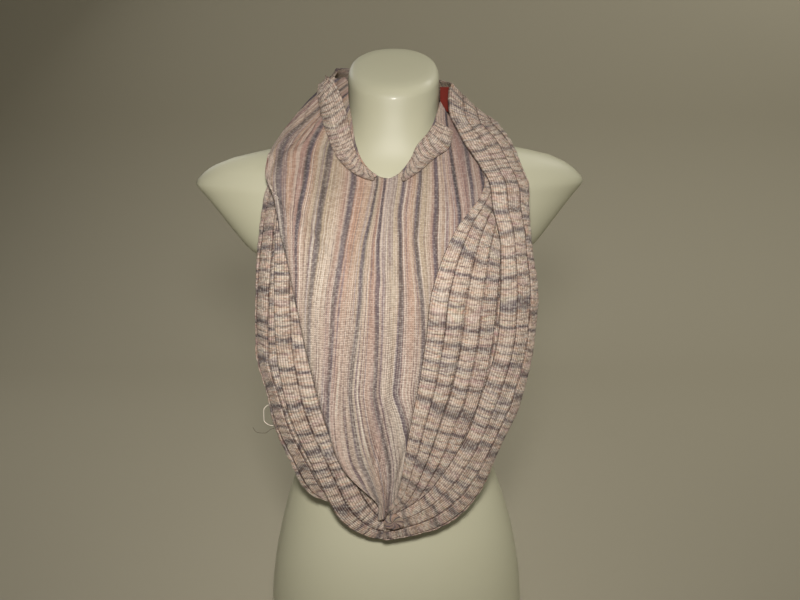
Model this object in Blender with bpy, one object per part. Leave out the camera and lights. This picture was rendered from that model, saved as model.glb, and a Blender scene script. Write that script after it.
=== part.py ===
# Infinity scarf, hung as a cowl on a headless and armless torso dress form.
#
# Metres, Z up, the front faces -Y. The form stands on the origin with its flat base. The tables
# are in millimetres and degrees: a turn is the angle round the form, 0 at the middle of the front,
# positive to +X, and a height is measured up from the base.
#
# The scarf is one knitted loop. A plain half fills the front, and a ribbed half runs round its
# outer side, over the right shoulder, behind the neck and down the left side. Each stretch that
# shows is a wall of its own: a plain inside, and an outside with the ribs raised on it.

import math

import bmesh
import bpy
import numpy as np
from mathutils import Matrix, Vector
from mathutils.bvhtree import BVHTree

MM = 0.001

# Cloth
PLAIN_WALL = 2.4 * MM
RIB_WALL = 2.2 * MM
RIB_RISE = 1.8 * MM
GROOVE_SHARE = 0.15         # part of a rib's pitch that each side of a groove takes
SEAM = 0.3 * MM             # between two stretches that meet end to end
SEAM_SHARE = 0.006          # the part of a row of the loop that each stretch stops short of a seam
ROLL_EASE = 5               # rows over which the roll's top end eases into the next stretch
LAY = 0.9 * MM              # between a stretch and what it lies on
REACH = 45 * MM             # how far up a stretch looks for what lies under it
SETTLE_PASSES = 3
CURL_TURN = 150.0           # degrees that a rolled edge turns through
TURN_LENGTH = 1.9           # millimetres of cloth in a degree of turn, in front
CROWN_START = 0.05          # how far into the arch of its crown a stretch's edge already is
RIBBED_ROWS = 18            # rows of points in a ribbed stretch
BAND_LEFT_ROWS = 16
BAND_RIGHT_ROWS = 10
PLAIN_FRONT_GRID = (23, 17, 0.88)   # rows, columns, and the share of a row that the columns cover
PLAIN_FRONT_EDGE = (0.92, 0.96, 1.0)
PLAIN_BACK_GRID = (12, 10)          # rows and columns

# Dress form
FORM_SIDES = 36
TRUNK_POWER = 2.2           # 2 would make the trunk's outline an ellipse
YOKE_BLEND = 7.0            # how sharply the shoulder caps run into the trunk
YOKE_TURN = 5.0             # degrees that the shoulders turn against the hips
CAP_TILT = 27.0             # degrees that the neck's flat top leans forward

# The trunk's half width and its depth to the front and back of the axis, at each height
TRUNK = (
    # height, half_width, front, back
    (0, 131, 88, 92),
    (5, 136, 92, 97),
    (40, 142, 96, 104),
    (98, 143, 97, 106),
    (150, 139, 94, 103),
    (190, 132, 89, 95),
    (225, 123, 83, 86),
    (266, 110, 77, 77),
    (310, 99, 73, 71),
    (350, 97, 73, 70),
    (400, 104, 80, 73),
    (440, 113, 88, 77),
    (480, 120, 92, 81),
    (515, 123, 86, 85),
    (548, 120, 74, 86),
    (575, 112, 63, 82),
    (598, 96, 53, 74),
    (618, 76, 47, 64),
    (636, 58, 44.5, 54),
    (655, 49, 43.5, 47),
    (675, 46.5, 43, 45),
    (692, 46.5, 43, 45),
)

# The shoulder caps' half span and half depth, at each height that they reach
YOKE = (
    # height, half_span, half_depth
    (478, 50, 24),
    (496, 96, 36),
    (506, 124, 43),
    (513, 141, 47),
    (524, 154, 50),
    (540, 168, 51),
    (556, 181, 50),
    (572, 194, 47),
    (580, 201, 45),
    (584, 203.5, 43),
    (589, 201, 41),
    (596, 194, 39),
    (604, 182, 35),
    (611, 165, 31),
    (616, 143, 28),
    (620, 122, 26),
    (628, 88, 22),
    (642, 48, 20),
)

# How much closer together the form's points stand at its two sides, to shape the shoulder tips
SIDE_SHARE = ((440, 1.0), (500, 2.4), (612, 2.4), (640, 1.0))

# How much of the neck's forward lean each height has, from 0 to 1
LEAN = ((598, 0.0), (625, 0.25), (655, 0.65), (685, 1.0))

# How far the trunk's axis stands to +X at each height, as in an easy standing pose
SWAY = ((0, 4.0), (200, 4.0), (340, 1.0), (480, 0.0), (600, 0.5), (700, 1.5))

# The rings of the form, and the small steps that round the edge of its top
FORM_HEIGHTS = (0, 5, 40, 85, 130, 170, 205, 240, 275, 315, 350, 385, 420, 455, 480, 496, 506, 513,
                524, 540, 556, 572, 580, 584, 589, 596, 604, 611, 616, 620, 628, 637, 648, 661,
                676, 690)
CAP_EDGE = ((694, 0.99), (698, 0.95), (700.5, 0.87), (701.5, 0.70))

# The surface that the cloth rests on: its reach from the axis to each side
DRAPE = (
    # height, left, right, front, back, square
    (702, 47, 48, 46, 50, 2.0),
    (690, 51, 51, 47, 52, 2.0),
    (678, 59, 57, 48, 55, 2.0),
    (660, 72, 71, 49, 60, 2.0),
    (647, 80, 84, 51, 65, 2.0),
    (622, 101, 115, 58, 76, 2.0),
    (600, 129, 141, 64, 84, 2.1),
    (585, 147, 157, 71, 88, 2.2),
    (560, 157, 161, 82, 92, 2.4),
    (540, 160, 161, 92, 92, 2.5),
    (500, 160, 161, 105, 90, 2.7),
    (460, 160, 161, 109, 88, 2.8),
    (400, 160, 161, 109, 88, 2.8),
    (320, 160, 160, 105, 88, 2.6),
    (260, 160, 160, 101, 94, 2.3),
    (220, 160, 160, 98, 94, 2.2),
)

# The cloth's edge round the neck, low in front and high at the sides and behind
NECK_EDGE = (
    # turn, height
    (-180, 697), (-90, 699), (-62, 698), (-47, 692), (-30, 658), (-19, 622), (-7, 597), (-1, 593),
    (4, 596), (13, 620), (24, 644), (35, 661), (48, 674), (64, 680), (98, 684), (140, 691), (180, 697),
)

# The ribbed loop, from the bottom of the front up the right side, round the back and down the
# left side to the bottom again. Inner is the edge nearer the neck. Curl is the radius in which the
# outer edge rolls under, and crown is how far the stretch bulges between its edges.
LOOP_RIBS = 4
LOOP = (
    # inner_turn, inner_height, outer_turn, outer_height, lift, crown, curl
    (0, 261, 2, 232, 14, 2, 4),
    (10, 284, 18, 246, 12, 3, 6),
    (18, 313, 31, 278, 10, 4, 8),
    (25, 350, 38, 324, 11, 5, 9),
    (30, 391, 47, 372, 11, 5, 9),
    (35, 437, 53, 426, 11, 5, 9),
    (36, 484, 55, 480, 11, 5, 9),
    (36, 528, 51, 530, 11, 5, 9),
    (33, 571, 50, 568, 11, 5, 8),
    (34, 601, 57, 597, 10, 5, 6),
    (35, 627, 71, 621, 8, 5, 4),
    (40, 652, 84, 639, 5, 5, 0),
    (53, 671, 96, 638, 4, 5, 0),
    (72, 681, 110, 635, 3, 5, 0),
    (104, 685, 130, 634, 3, 5, 0),
    (142, 691, 154, 636, 3, 5, 0),
    (180, 696, 180, 640, 3, 5, 0),
    (212, 692, 206, 639, 3, 5, 0),
    (236, 684, 227, 634, 3, 4, 0),
    (256, 674, 246, 628, 3, 4, 0),
    (272, 662, 262, 625, 3, 3, 0),
    (286, 648, 274, 622, 2, 3, 0),
    (300, 626, 292, 614, 1, 3, 0),
    (322, 592, 308, 584, 1, 3, 1),
    (328, 548, 307, 543, 1, 3, 4),
    (330, 508, 305, 505, 1, 3, 6),
    (329, 466, 304, 466, 1, 3, 7),
    (329, 423, 303, 425, 1, 3, 7),
    (332, 380, 309, 384, 1, 3, 7),
    (337, 344, 313, 346, 1, 3, 6),
    (342, 310, 320, 311, 1, 2, 5),
    (347, 282, 327, 279, 1, 2, 4),
    (350, 268, 339, 268, 1, 2, 3),
)

# The rows of the loop where one stretch ends and the next begins
LOOP_STRETCHES = {
    # name: first_row, last_row, along
    "ribs_right_outer": (0, 13, 24),
    "ribs_back_upper": (13, 20, 14),
    "ribs_left_outer": (20, 32, 20),
}

# The rest of the ribbed half, behind the neck, lies under the loop and spreads below it
BACK_LOWER_RIBS = 5
BACK_LOWER = (
    # inner_turn, inner_height, outer_turn, outer_height, lift, crown, curl
    (60, 646, 78, 624, 1, 2, 0),
    (80, 651, 94, 624, 1, 3, 0),
    (100, 652, 110, 619, 1, 4, 0),
    (122, 653, 127, 603, 1, 5, 0),
    (148, 654, 150, 586, 1, 5, 0),
    (180, 655, 180, 578, 1, 5, 0),
    (212, 654, 210, 585, 1, 5, 0),
    (236, 650, 232, 602, 1, 4, 0),
    (256, 645, 249, 619, 1, 3, 0),
    (274, 638, 264, 623, 1, 2, 0),
)

RIGHT_INNER_RIBS = 5
RIGHT_INNER = (
    # inner_turn, inner_height, outer_turn, outer_height, lift, crown, curl
    (-2, 267, 1, 246, 6, 2, 0),
    (2, 289, 12, 268, 6, 3, 0),
    (4, 322, 22, 300, 6, 3, 0),
    (6, 359, 30, 338, 6, 3, 0),
    (9, 406, 37, 386, 6, 4, 0),
    (11, 447, 41, 436, 6, 4, 0),
    (13, 493, 43, 488, 6, 4, 0),
    (20, 541, 44, 537, 6, 4, 0),
    (31, 579, 47, 580, 6, 4, 0),
    (38, 612, 50, 612, 6, 3, 0),
)

LEFT_INNER_RIBS = 3
LEFT_INNER = (
    # inner_turn, inner_height, outer_turn, outer_height, lift, crown, curl
    (1, 256, 1, 229, 3, 2, 0),
    (-2, 268, -9, 234, 3, 3, 0),
    (-5, 290, -19, 256, 3, 3, 0),
    (-9, 325, -28, 310, 3, 3, 0),
    (-14, 368, -36, 359, 3, 3, 0),
    (-17, 407, -40, 401, 3, 3, 0),
    (-19, 455, -42, 451, 3, 3, 0),
    (-20, 502, -42, 499, 3, 3, 0),
    (-20, 547, -42, 545, 3, 2, 0),
    (-24, 583, -45, 582, 3, 2, 0),
)

# The plain stretch: one row for each level from the neck edge to the point at the bottom. Its
# upper levels hang in a V between the shoulders, which the middle height sets.
PLAIN_FRONT = (
    # left_turn, left_height, middle_height, right_turn, right_height, lift, crown, curl, neck_share
    (-74, 699, 593, 42, 669, 5, 0, 0, 1.0),
    (-73, 675, 575, 42, 650, 6, 0, 1, 0.8),
    (-72, 648, 552, 41, 628, 7, 0, 2, 0.5),
    (-66, 618, 528, 38, 600, 7, 1, 3, 0.3),
    (-45, 584, 492, 36, 558, 7, 2, 4, 0.1),
    (-37, 541, 452, 30, 508, 7, 3, 4, 0),
    (-32, 490, 412, 25, 453, 7, 3, 4, 0),
    (-28, 433, 372, 19, 402, 7, 3, 4, 0),
    (-23, 372, 333, 13, 352, 7, 3, 4, 0),
    (-17, 318, 298, 7, 304, 7, 3, 4, 0),
    (-6, 280, 277, 3, 277, 7, 3, 3, 0),
    (-5, 259, 258, 2, 258, 7, 2, 1, 0),
)
LEVEL_POWER = 1.6           # 1 is a straight V, 2 a round U

# The plain stretch behind the left shoulder, where it narrows and runs under the ribs
PLAIN_BACK = (
    # inner_turn, inner_height, outer_turn, outer_height, lift, crown, curl
    (-78, 699, -71, 620, 5, 1, 0),
    (-92, 699, -90, 627, 5, 2, 0),
    (-112, 699, -112, 622, 5, 3, 0),
    (-132, 699, -130, 622, 5, 3, 0),
    (-150, 698, -148, 640, 5, 3, 0),
    (-166, 698, -165, 668, 5, 2, 0),
    (-178, 698, -178, 688, 5, 1, 0),
)

# The turned edge along both sides of the neck
BAND_RIBS = 2
BAND_LEFT = (
    # inner_turn, inner_height, outer_turn, outer_height, lift, crown, curl
    (-5, 593, -7, 583, 9, 1, 0),
    (-13, 605, -18, 592, 9, 2, 0),
    (-20, 621, -29, 608, 9, 3, 0),
    (-31, 655, -43, 639, 9, 3, 0),
    (-46, 686, -56, 667, 9, 3, 0),
    (-62, 694, -69, 677, 9, 3, 0),
    (-84, 695, -87, 682, 9, 2, 0),
)
BAND_RIGHT = (
    # inner_turn, inner_height, outer_turn, outer_height, lift, crown, curl
    (4, 593, 6, 583, 9, 1, 0),
    (10, 606, 15, 594, 9, 2, 0),
    (15, 620, 23, 608, 9, 3, 0),
    (24, 640, 32, 627, 9, 3, 0),
    (32, 655, 37, 641, 8, 2, 0),
)

# Soft folds that run along a stretch: where each lies across it at its start and its end, how far
# along it runs, how high it stands (a trough is below 0) and how wide it is
FOLDS = (
    # stretch, first_along, last_along, first_across, last_across, rise, width
    ("plain_front", -0.1, 0.34, 0.58, 0.55, -4, 0.06),
    ("plain_front", 0.10, 0.55, 0.78, 0.84, 4, 0.08),
    ("plain_front", 0.25, 1.10, 0.42, 0.55, -5, 0.07),
    ("plain_front", 0.30, 1.10, 0.30, 0.30, 3, 0.09),
    ("plain_front", 0.50, 1.10, 0.72, 0.70, -3, 0.07),
    ("ribs_back_lower", 0.15, 0.85, 0.80, 0.78, 5, 0.14),
    ("ribs_back_upper", -0.3, 1.30, 0.35, 0.40, 5, 0.20),
    ("ribs_right_inner", 0.20, 0.95, 0.52, 0.45, -4, 0.14),
    ("ribs_right_outer", 0.10, 0.80, 0.50, 0.50, 2, 0.22),
    ("ribs_left_inner", 0.10, 0.90, 0.60, 0.60, 2, 0.25),
)

LABEL_SIZE = (12 * MM, 0.9 * MM, 23 * MM)
LABEL_PLACE = (55.7 * MM, -3.0 * MM, 667.0 * MM)
LABEL_TURN = 12.0           # degrees

KNOT_PLACE = (1, 256)       # turn and height
KNOT_SIZE = (8 * MM, 4 * MM, 7.5 * MM)
KNOT_CLEAR = 4.5 * MM       # its middle stands this far off what lies beneath it
KNOT_PUCKER = 0.12
KNOT_FOLDS = 6


def fold_rise(name, along, across):
    # How far the folds of a stretch lift a point of it
    rise = 0.0
    for stretch, first, last, start, end, height, width in FOLDS:
        if stretch != name:
            continue
        way = (along - first) / (last - first)
        if 0 < way < 1:
            middle = start + (end - start) * way
            rise += height * math.sin(math.pi * way) * math.exp(-((across - middle) / width) ** 2)
    return rise


def smooth_rows(rows, stations):
    # Values of a table at each station from 0 to 1, on smooth curves through its rows
    table = np.array(rows, dtype=float)
    last = len(table) - 1
    at = np.clip(np.asarray(stations) * last, 0, last)
    index = np.minimum(at.astype(int), last - 1)
    part = (at - index)[:, None]
    slope = np.gradient(table, axis=0)
    step = np.diff(table, axis=0)
    before, after = np.vstack([step[:1], step]), np.vstack([step, step[-1:]])
    slope = np.where(before * after > 0, slope, 0.0)
    low, high = table[index], table[index + 1]
    rise = part ** 2 * (3 - 2 * part)
    early = part * (1 - part) ** 2
    late = part ** 2 * (part - 1)
    return low + (high - low) * rise + slope[index] * early + slope[index + 1] * late


def by_height(table, height):
    # Each column of a table whose first column is the height, on smooth curves
    rows = sorted(table)
    heights = np.array([row[0] for row in rows], dtype=float)
    height = np.clip(np.asarray(height, dtype=float), heights[0], heights[-1])
    index = np.clip(np.searchsorted(heights, height) - 1, 0, len(rows) - 2)
    part = (height - heights[index]) / (heights[index + 1] - heights[index])
    columns = []
    for column in range(1, len(rows[0])):
        values = np.array([row[column] for row in rows], dtype=float)
        step = np.diff(values) / np.diff(heights)
        slope = np.concatenate([step[:1], (step[1:] + step[:-1]) / 2, step[-1:]])
        flat = np.concatenate([[False], step[1:] * step[:-1] <= 0, [False]])
        slope[flat] = 0.0
        gap = heights[index + 1] - heights[index]
        low, high = values[index], values[index + 1]
        rise = part ** 2 * (3 - 2 * part)
        early = gap * part * (1 - part) ** 2
        late = gap * part ** 2 * (part - 1)
        columns.append(low + (high - low) * rise + slope[index] * early + slope[index + 1] * late)
    return columns


def drape_point(turn, height, lift=0.0):
    # A point on the surface that the cloth rests on, moved out by lift, in millimetres
    left, right, front, back, square = by_height(DRAPE, height)
    angle = np.radians(turn)
    across = np.sin(angle)
    facing = np.sign(np.cos(angle))
    square = np.where(facing > 0, square, 2.0)
    ahead = facing * (1 - np.minimum(np.abs(across), 1.0) ** square) ** (1 / square)
    side = np.where(across < 0, left, right) + lift
    depth = np.where(facing > 0, front, back) + lift
    return np.stack([side * across, -depth * ahead, np.asarray(height, dtype=float)], axis=-1)


def drape_normal(turn, height):
    # The outward direction of that surface
    across = drape_point(turn + 0.5, height) - drape_point(turn - 0.5, height)
    up = drape_point(turn, height + 1.0) - drape_point(turn, height - 1.0)
    return unit(np.cross(across, up))


def unit(vectors):
    length = np.linalg.norm(vectors, axis=-1, keepdims=True)
    return vectors / np.maximum(length, 1e-12)


def grid_normals(points):
    # Outward directions of a grid of points, rows along the stretch and columns across it
    along = np.gradient(points, axis=0)
    across = np.gradient(points, axis=1)
    normals = unit(np.cross(across, along))
    away_from_axis = np.sum(normals[..., :2] * points[..., :2])
    return normals if away_from_axis > 0 else -normals


def spread(values, reach_along, reach_across, pick):
    # Each value from those round it: the highest of them, or their mean
    rows, columns = values.shape
    wide = np.pad(values, ((reach_along,) * 2, (reach_across,) * 2), mode="edge")
    near = [wide[i:i + rows, j:j + columns]
            for i in range(2 * reach_along + 1) for j in range(2 * reach_across + 1)]
    return pick(near, axis=0)


def soften(push):
    # Spreads each push to the points round it, so that the cloth rises in a soft hill
    return np.maximum(push, spread(spread(push, 2, 1, np.max), 2, 1, np.mean))


def settle(points, flat, normals, beneath):
    # Moves a grid of points out until it clears what lies beneath it, at its points, at the middles
    # of its edges and at the middles of its cells. The columns past the flat part of a row, which
    # curl under with their outside turned in, move together with the last flat one.
    rows, columns = flat.shape
    for _ in range(SETTLE_PASSES):
        push = np.zeros(flat.shape)
        for i in range(rows):
            for j in range(columns):
                for down, right in ((0, 0), (0, 1), (1, 0), (1, 1)):
                    k, m = min(i + down, rows - 1), min(j + right, columns - 1)
                    clear = LAY if flat[i, j] and flat[k, m] else LAY + RIB_WALL + RIB_RISE
                    normal = Vector((normals[i, j] + normals[k, m]) / 2).normalized()
                    middle = (points[i, j] + points[k, m]) / 2
                    if down and right:
                        middle = (middle + (points[i, m] + points[k, j]) / 2) / 2
                    start = Vector(middle) + normal * REACH
                    need = 0.0
                    for tree in beneath:
                        hit = tree.ray_cast(start, -normal, REACH + clear)
                        if hit[0] is not None:
                            need = max(need, REACH - hit[3] + clear)
                    for r, c in ((i, j), (i, m), (k, j), (k, m)):
                        push[r, c] = max(push[r, c], need)
        for i in range(rows):
            last = np.nonzero(flat[i])[0][-1]
            push[i, last:] = push[i, last:].max()
        points = points + normals * soften(push)[..., None]
    return points


def stretch_points(name, rows, stations, shares, beneath):
    # The inner points of a stretch whose rows give its two edges
    table = smooth_rows(rows, stations)
    grid = np.zeros((len(stations), len(shares), 3))
    directions = np.zeros_like(grid)
    flat = np.zeros(grid.shape[:2], dtype=bool)
    for i, row in enumerate(table):
        in_turn, in_height, out_turn, out_height, lift, crown, curl = row
        inner = drape_point(np.array([in_turn]), np.array([in_height]), lift)[0]
        outer = drape_point(np.array([out_turn]), np.array([out_height]), lift)[0]
        width = np.linalg.norm(outer - inner)
        roll_length = curl * math.radians(CURL_TURN)
        length = width - curl + roll_length
        for j, share in enumerate(shares):
            run = share * length
            flat_run = min(run, width - curl)
            part = flat_run / width
            turn = in_turn + (out_turn - in_turn) * part
            height = in_height + (out_height - in_height) * part
            turn_at, height_at = np.array([turn]), np.array([height])
            normal = drape_normal(turn_at, height_at)[0]
            arch = min(CROWN_START + part * (1 - 2 * CROWN_START), 1.0)
            bulge = crown * math.sin(math.pi * arch)
            bulge += fold_rise(name, (stations[i] - stations[0]) / (stations[-1] - stations[0]), share)
            point = drape_point(turn_at, height_at, lift + bulge)[0]
            flat[i, j] = run <= width - curl + 1e-6
            if curl > 0 and not flat[i, j]:
                angle = (run - flat_run) / curl
                outward = outer - inner
                outward = unit(outward - normal * np.dot(outward, normal))
                point = point + outward * curl * math.sin(angle)
                point = point - normal * curl * (1 - math.cos(angle))
            grid[i, j] = point
            directions[i, j] = normal
    return settle(grid * MM, flat, directions, beneath)


def neck_height(turn):
    turns, heights = zip(*NECK_EDGE)
    return float(np.interp(turn, turns, heights))


def plain_level(row, turn):
    # The height of one level of the plain stretch at a turn, before the neck edge shapes it
    left_turn, left_height, middle, right_turn, right_height = row[:5]
    side = turn / right_turn if turn > 0 else turn / left_turn
    end = right_height if turn > 0 else left_height
    return middle + (end - middle) * abs(side) ** LEVEL_POWER


def plain_front_points(stations, shares):
    # The inner points of the plain stretch in front, from its right edge to its left fold
    table = smooth_rows(PLAIN_FRONT, stations)
    grid = np.zeros((len(stations), len(shares), 3))
    directions = np.zeros_like(grid)
    flat = np.zeros(grid.shape[:2], dtype=bool)
    for i, row in enumerate(table):
        left_turn, left_height, middle, right_turn, right_height, lift, crown, curl = row[:8]
        span = right_turn - left_turn
        roll_share = curl / (span * TURN_LENGTH)
        for j, share in enumerate(shares):
            rolled = max(0.0, share - (1 - roll_share))
            part = min(share, 1 - roll_share)
            turn = right_turn - span * part
            top_turn = PLAIN_FRONT[0][3] + (PLAIN_FRONT[0][0] - PLAIN_FRONT[0][3]) * part
            height = plain_level(row, turn)
            height += row[8] * (neck_height(top_turn) - plain_level(PLAIN_FRONT[0], top_turn))
            turn_at, height_at = np.array([turn]), np.array([height])
            normal = drape_normal(turn_at, height_at)[0]
            bulge = crown * math.sin(math.pi * part) + fold_rise("plain_front", stations[i], part)
            point = drape_point(turn_at, height_at, lift + bulge)[0]
            flat[i, j] = rolled == 0.0
            if rolled > 0:
                angle = rolled / roll_share * math.pi / 2
                outward = drape_point(turn_at - 1, height_at)[0] - drape_point(turn_at, height_at)[0]
                outward = unit(outward - normal * np.dot(outward, normal))
                point = point + outward * curl * math.sin(angle)
                point = point - normal * curl * (1 - math.cos(angle))
            grid[i, j] = point
            directions[i, j] = normal
    return grid * MM, flat, directions


def rib_shares(ribs):
    # Where the columns of a ribbed stretch lie: one in each groove and one on each shoulder
    shares = []
    for rib in range(ribs):
        shares += [rib, rib + GROOVE_SHARE, rib + 1 - GROOVE_SHARE]
    return [share / ribs for share in shares] + [1.0]


def rib_heights(ribs):
    return np.array([0.0 if column % 3 == 0 else RIB_RISE for column in range(3 * ribs + 1)])


def wall(points, normals, thickness, rises):
    # A closed wall: the points are its plain inside, and the outside stands off by the thickness
    # and by each column's own rise
    rows, columns = points.shape[:2]
    rise = np.broadcast_to(np.asarray(rises), (rows, columns))
    outside = points + normals * (thickness + rise)[..., None]
    vertices = [tuple(p) for p in outside.reshape(-1, 3)] + [tuple(p) for p in points.reshape(-1, 3)]
    below = rows * columns
    faces = []
    for i in range(rows - 1):
        for j in range(columns - 1):
            a, b = i * columns + j, i * columns + j + 1
            c, d = a + columns, b + columns
            faces.append((a, b, d, c))
            faces.append((below + a, below + c, below + d, below + b))
    rim = [j for j in range(columns)]
    rim += [i * columns + columns - 1 for i in range(1, rows)]
    rim += [(rows - 1) * columns + j for j in range(columns - 2, -1, -1)]
    rim += [i * columns for i in range(rows - 2, 0, -1)]
    for here, after in zip(rim, rim[1:] + rim[:1]):
        faces.append((here, below + here, below + after, after))
    return vertices, faces


def make_object(name, vertices, faces, material):
    mesh = bpy.data.meshes.new(name)
    mesh.from_pydata(vertices, [], faces)
    mesh.materials.append(material)
    bm = bmesh.new()
    bm.from_mesh(mesh)
    bmesh.ops.triangulate(bm, faces=bm.faces[:])
    if bm.calc_volume(signed=True) < 0:
        bmesh.ops.reverse_faces(bm, faces=bm.faces[:])
    bm.to_mesh(mesh)
    bm.free()
    mesh.shade_smooth()
    obj = bpy.data.objects.new(name, mesh)
    bpy.context.scene.collection.objects.link(obj)
    return obj


def make_material(name, colour, roughness):
    material = bpy.data.materials.new(name)
    material.use_nodes = True
    shader = material.node_tree.nodes["Principled BSDF"]
    shader.inputs["Base Color"].default_value = (*colour, 1.0)
    shader.inputs["Roughness"].default_value = roughness
    shader.inputs["Metallic"].default_value = 0.0
    return material


def tree_of(obj):
    vertices = [v.co.copy() for v in obj.data.vertices]
    faces = [tuple(p.vertices) for p in obj.data.polygons]
    return BVHTree.FromPolygons(vertices, faces)


def form_ring(height, size=1.0):
    # One ring of the dress form: the trunk and the shoulder caps in one smooth outline
    half_width, front, back = (float(v) for v in by_height(TRUNK, height))
    half_span, half_depth = (float(v) for v in by_height(YOKE, height))
    has_yoke = YOKE[0][0] <= height <= YOKE[-1][0]
    lean = float(np.interp(height, *zip(*LEAN)))
    slope = math.tan(math.radians(CAP_TILT * lean))
    sway = float(np.interp(height, *zip(*SWAY)))
    closer = float(np.interp(height, *zip(*SIDE_SHARE)))
    turned = math.radians(YOKE_TURN) * (closer - 1) / (SIDE_SHARE[1][1] - 1)
    ring = []
    for side in range(FORM_SIDES):
        step = 2 * math.pi * side / FORM_SIDES
        angle = math.atan2(math.sin(step) * closer, math.cos(step)) + turned
        across, ahead = math.sin(angle), math.cos(angle)
        depth = front if ahead > 0 else back
        reach = abs(across / half_width) ** TRUNK_POWER + abs(ahead / depth) ** TRUNK_POWER
        reach = reach ** (-1 / TRUNK_POWER)
        if has_yoke:
            cap = math.sin(angle - turned) / half_span, math.cos(angle - turned) / half_depth
            cap = 1 / math.hypot(*cap)
            reach = (reach ** YOKE_BLEND + cap ** YOKE_BLEND) ** (1 / YOKE_BLEND)
        x, y = reach * across * size, -reach * ahead * size
        ring.append(((x + sway) * MM, y * MM, (height + slope * y) * MM))
    return ring


def make_form(material):
    rings = [form_ring(height) for height in FORM_HEIGHTS]
    rings += [form_ring(height, size) for height, size in CAP_EDGE]
    vertices = [point for ring in rings for point in ring]
    faces = []
    for level in range(len(rings) - 1):
        for side in range(FORM_SIDES):
            a = level * FORM_SIDES + side
            b = level * FORM_SIDES + (side + 1) % FORM_SIDES
            faces.append((a, b, b + FORM_SIDES, a + FORM_SIDES))
    top = (len(rings) - 1) * FORM_SIDES
    faces.append(tuple(reversed(range(FORM_SIDES))))
    faces.append(tuple(range(top, top + FORM_SIDES)))
    return make_object("dress_form", vertices, faces, material)


def ribbed_object(name, points, normals, ribs, material):
    vertices, faces = wall(points, normals, RIB_WALL, rib_heights(ribs))
    return make_object(name, vertices, faces, material)


def make_ribbed(name, rows, ribs, along, material, beneath):
    points = stretch_points(name, rows, np.linspace(0, 1, along), rib_shares(ribs), beneath)
    return ribbed_object(name, points, grid_normals(points), ribs, material)


def loop_stations(name):
    # The stations of a stretch of the loop, which stops short of the seams at its ends
    first, last, along = LOOP_STRETCHES[name]
    ends = len(LOOP) - 1
    return np.linspace((first + SEAM_SHARE) / ends, (last - SEAM_SHARE) / ends, along)


def make_loop_pair(first_name, second_name, material, beneath):
    # Two stretches of the loop that lie on the same things, settled as one and cut at their seam
    stations = [loop_stations(first_name), loop_stations(second_name)]
    points = stretch_points(first_name, LOOP, np.concatenate(stations), rib_shares(LOOP_RIBS), beneath)
    cut = len(stations[0])
    whole = np.concatenate([points[:cut], points[cut + 1:]])
    normals = grid_normals(whole)
    first = ribbed_object(first_name, points[:cut], normals[:cut], LOOP_RIBS, material)
    second = ribbed_object(second_name, points[cut:], normals[cut - 1:], LOOP_RIBS, material)
    return first, second, points[0], normals[0]


def make_roll(material, beneath, end_points, end_normals):
    # The stretch that rolls over the front's right side, eased at its top to meet the next one
    name = "ribs_right_outer"
    stations = loop_stations(name)
    points = stretch_points(name, LOOP, stations, rib_shares(LOOP_RIBS), beneath)
    along = unit(points[-1] - points[-2])
    offset = end_points - along * SEAM - points[-1]
    for back in range(ROLL_EASE):
        share = 1 - back / ROLL_EASE
        points[-1 - back] += offset * share ** 2 * (3 - 2 * share)
    normals = grid_normals(points)
    normals[-1] = end_normals
    return ribbed_object(name, points, normals, LOOP_RIBS, material)


def make_plain_front(material, beneath):
    rows, columns, covered = PLAIN_FRONT_GRID
    stations = np.linspace(0, 1, rows)
    shares = np.concatenate([np.linspace(0, covered, columns), PLAIN_FRONT_EDGE])
    grid, flat, directions = plain_front_points(stations, shares)
    points = settle(grid, flat, directions, beneath)
    vertices, faces = wall(points, grid_normals(points), PLAIN_WALL, np.zeros(len(shares)))
    return make_object("plain_front", vertices, faces, material)


def make_plain_back(material, beneath):
    rows, columns = PLAIN_BACK_GRID
    shares = np.linspace(0, 1, columns)
    points = stretch_points("plain_back", PLAIN_BACK, np.linspace(0, 1, rows), shares, beneath)
    vertices, faces = wall(points, grid_normals(points), PLAIN_WALL, np.zeros(len(shares)))
    return make_object("plain_back", vertices, faces, material)


def make_label(material):
    # A small blank fabric label that stands in the gap beside the neck
    centre = Vector(LABEL_PLACE)
    turned = Matrix.Rotation(math.radians(LABEL_TURN), 3, "Z")
    vertices = []
    for x in (-0.5, 0.5):
        for y in (-0.5, 0.5):
            for z in (-0.5, 0.5):
                corner = Vector((x * LABEL_SIZE[0], y * LABEL_SIZE[1], z * LABEL_SIZE[2]))
                vertices.append(tuple(centre + turned @ corner))
    faces = [(0, 1, 3, 2), (4, 6, 7, 5), (0, 4, 5, 1), (2, 3, 7, 6), (0, 2, 6, 4), (1, 5, 7, 3)]
    return make_object("neck_label", vertices, faces, material)


def make_knot(material, beneath):
    # The puckered lump where all the stretches are gathered at the bottom
    turn, height = (np.array([float(value)]) for value in KNOT_PLACE)
    normal = Vector(drape_normal(turn, height)[0])
    start = Vector(drape_point(turn, height)[0] * MM) + normal * REACH * 2
    lowest = REACH * 2
    for tree in beneath:
        hit = tree.ray_cast(start, -normal)
        if hit[0] is not None:
            lowest = min(lowest, hit[3])
    centre = start - normal * (lowest - KNOT_CLEAR)
    bm = bmesh.new()
    bmesh.ops.create_icosphere(bm, subdivisions=3, radius=1.0)
    for vertex in bm.verts:
        x, y, z = vertex.co
        pucker = 1 + KNOT_PUCKER * math.cos(KNOT_FOLDS * math.atan2(z, x))
        vertex.co = centre + Vector((x * pucker * KNOT_SIZE[0], y * KNOT_SIZE[1], z * pucker * KNOT_SIZE[2]))
    vertices = [tuple(vertex.co) for vertex in bm.verts]
    faces = [tuple(vertex.index for vertex in face.verts) for face in bm.faces]
    bm.free()
    return make_object("bottom_knot", vertices, faces, material)


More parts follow.
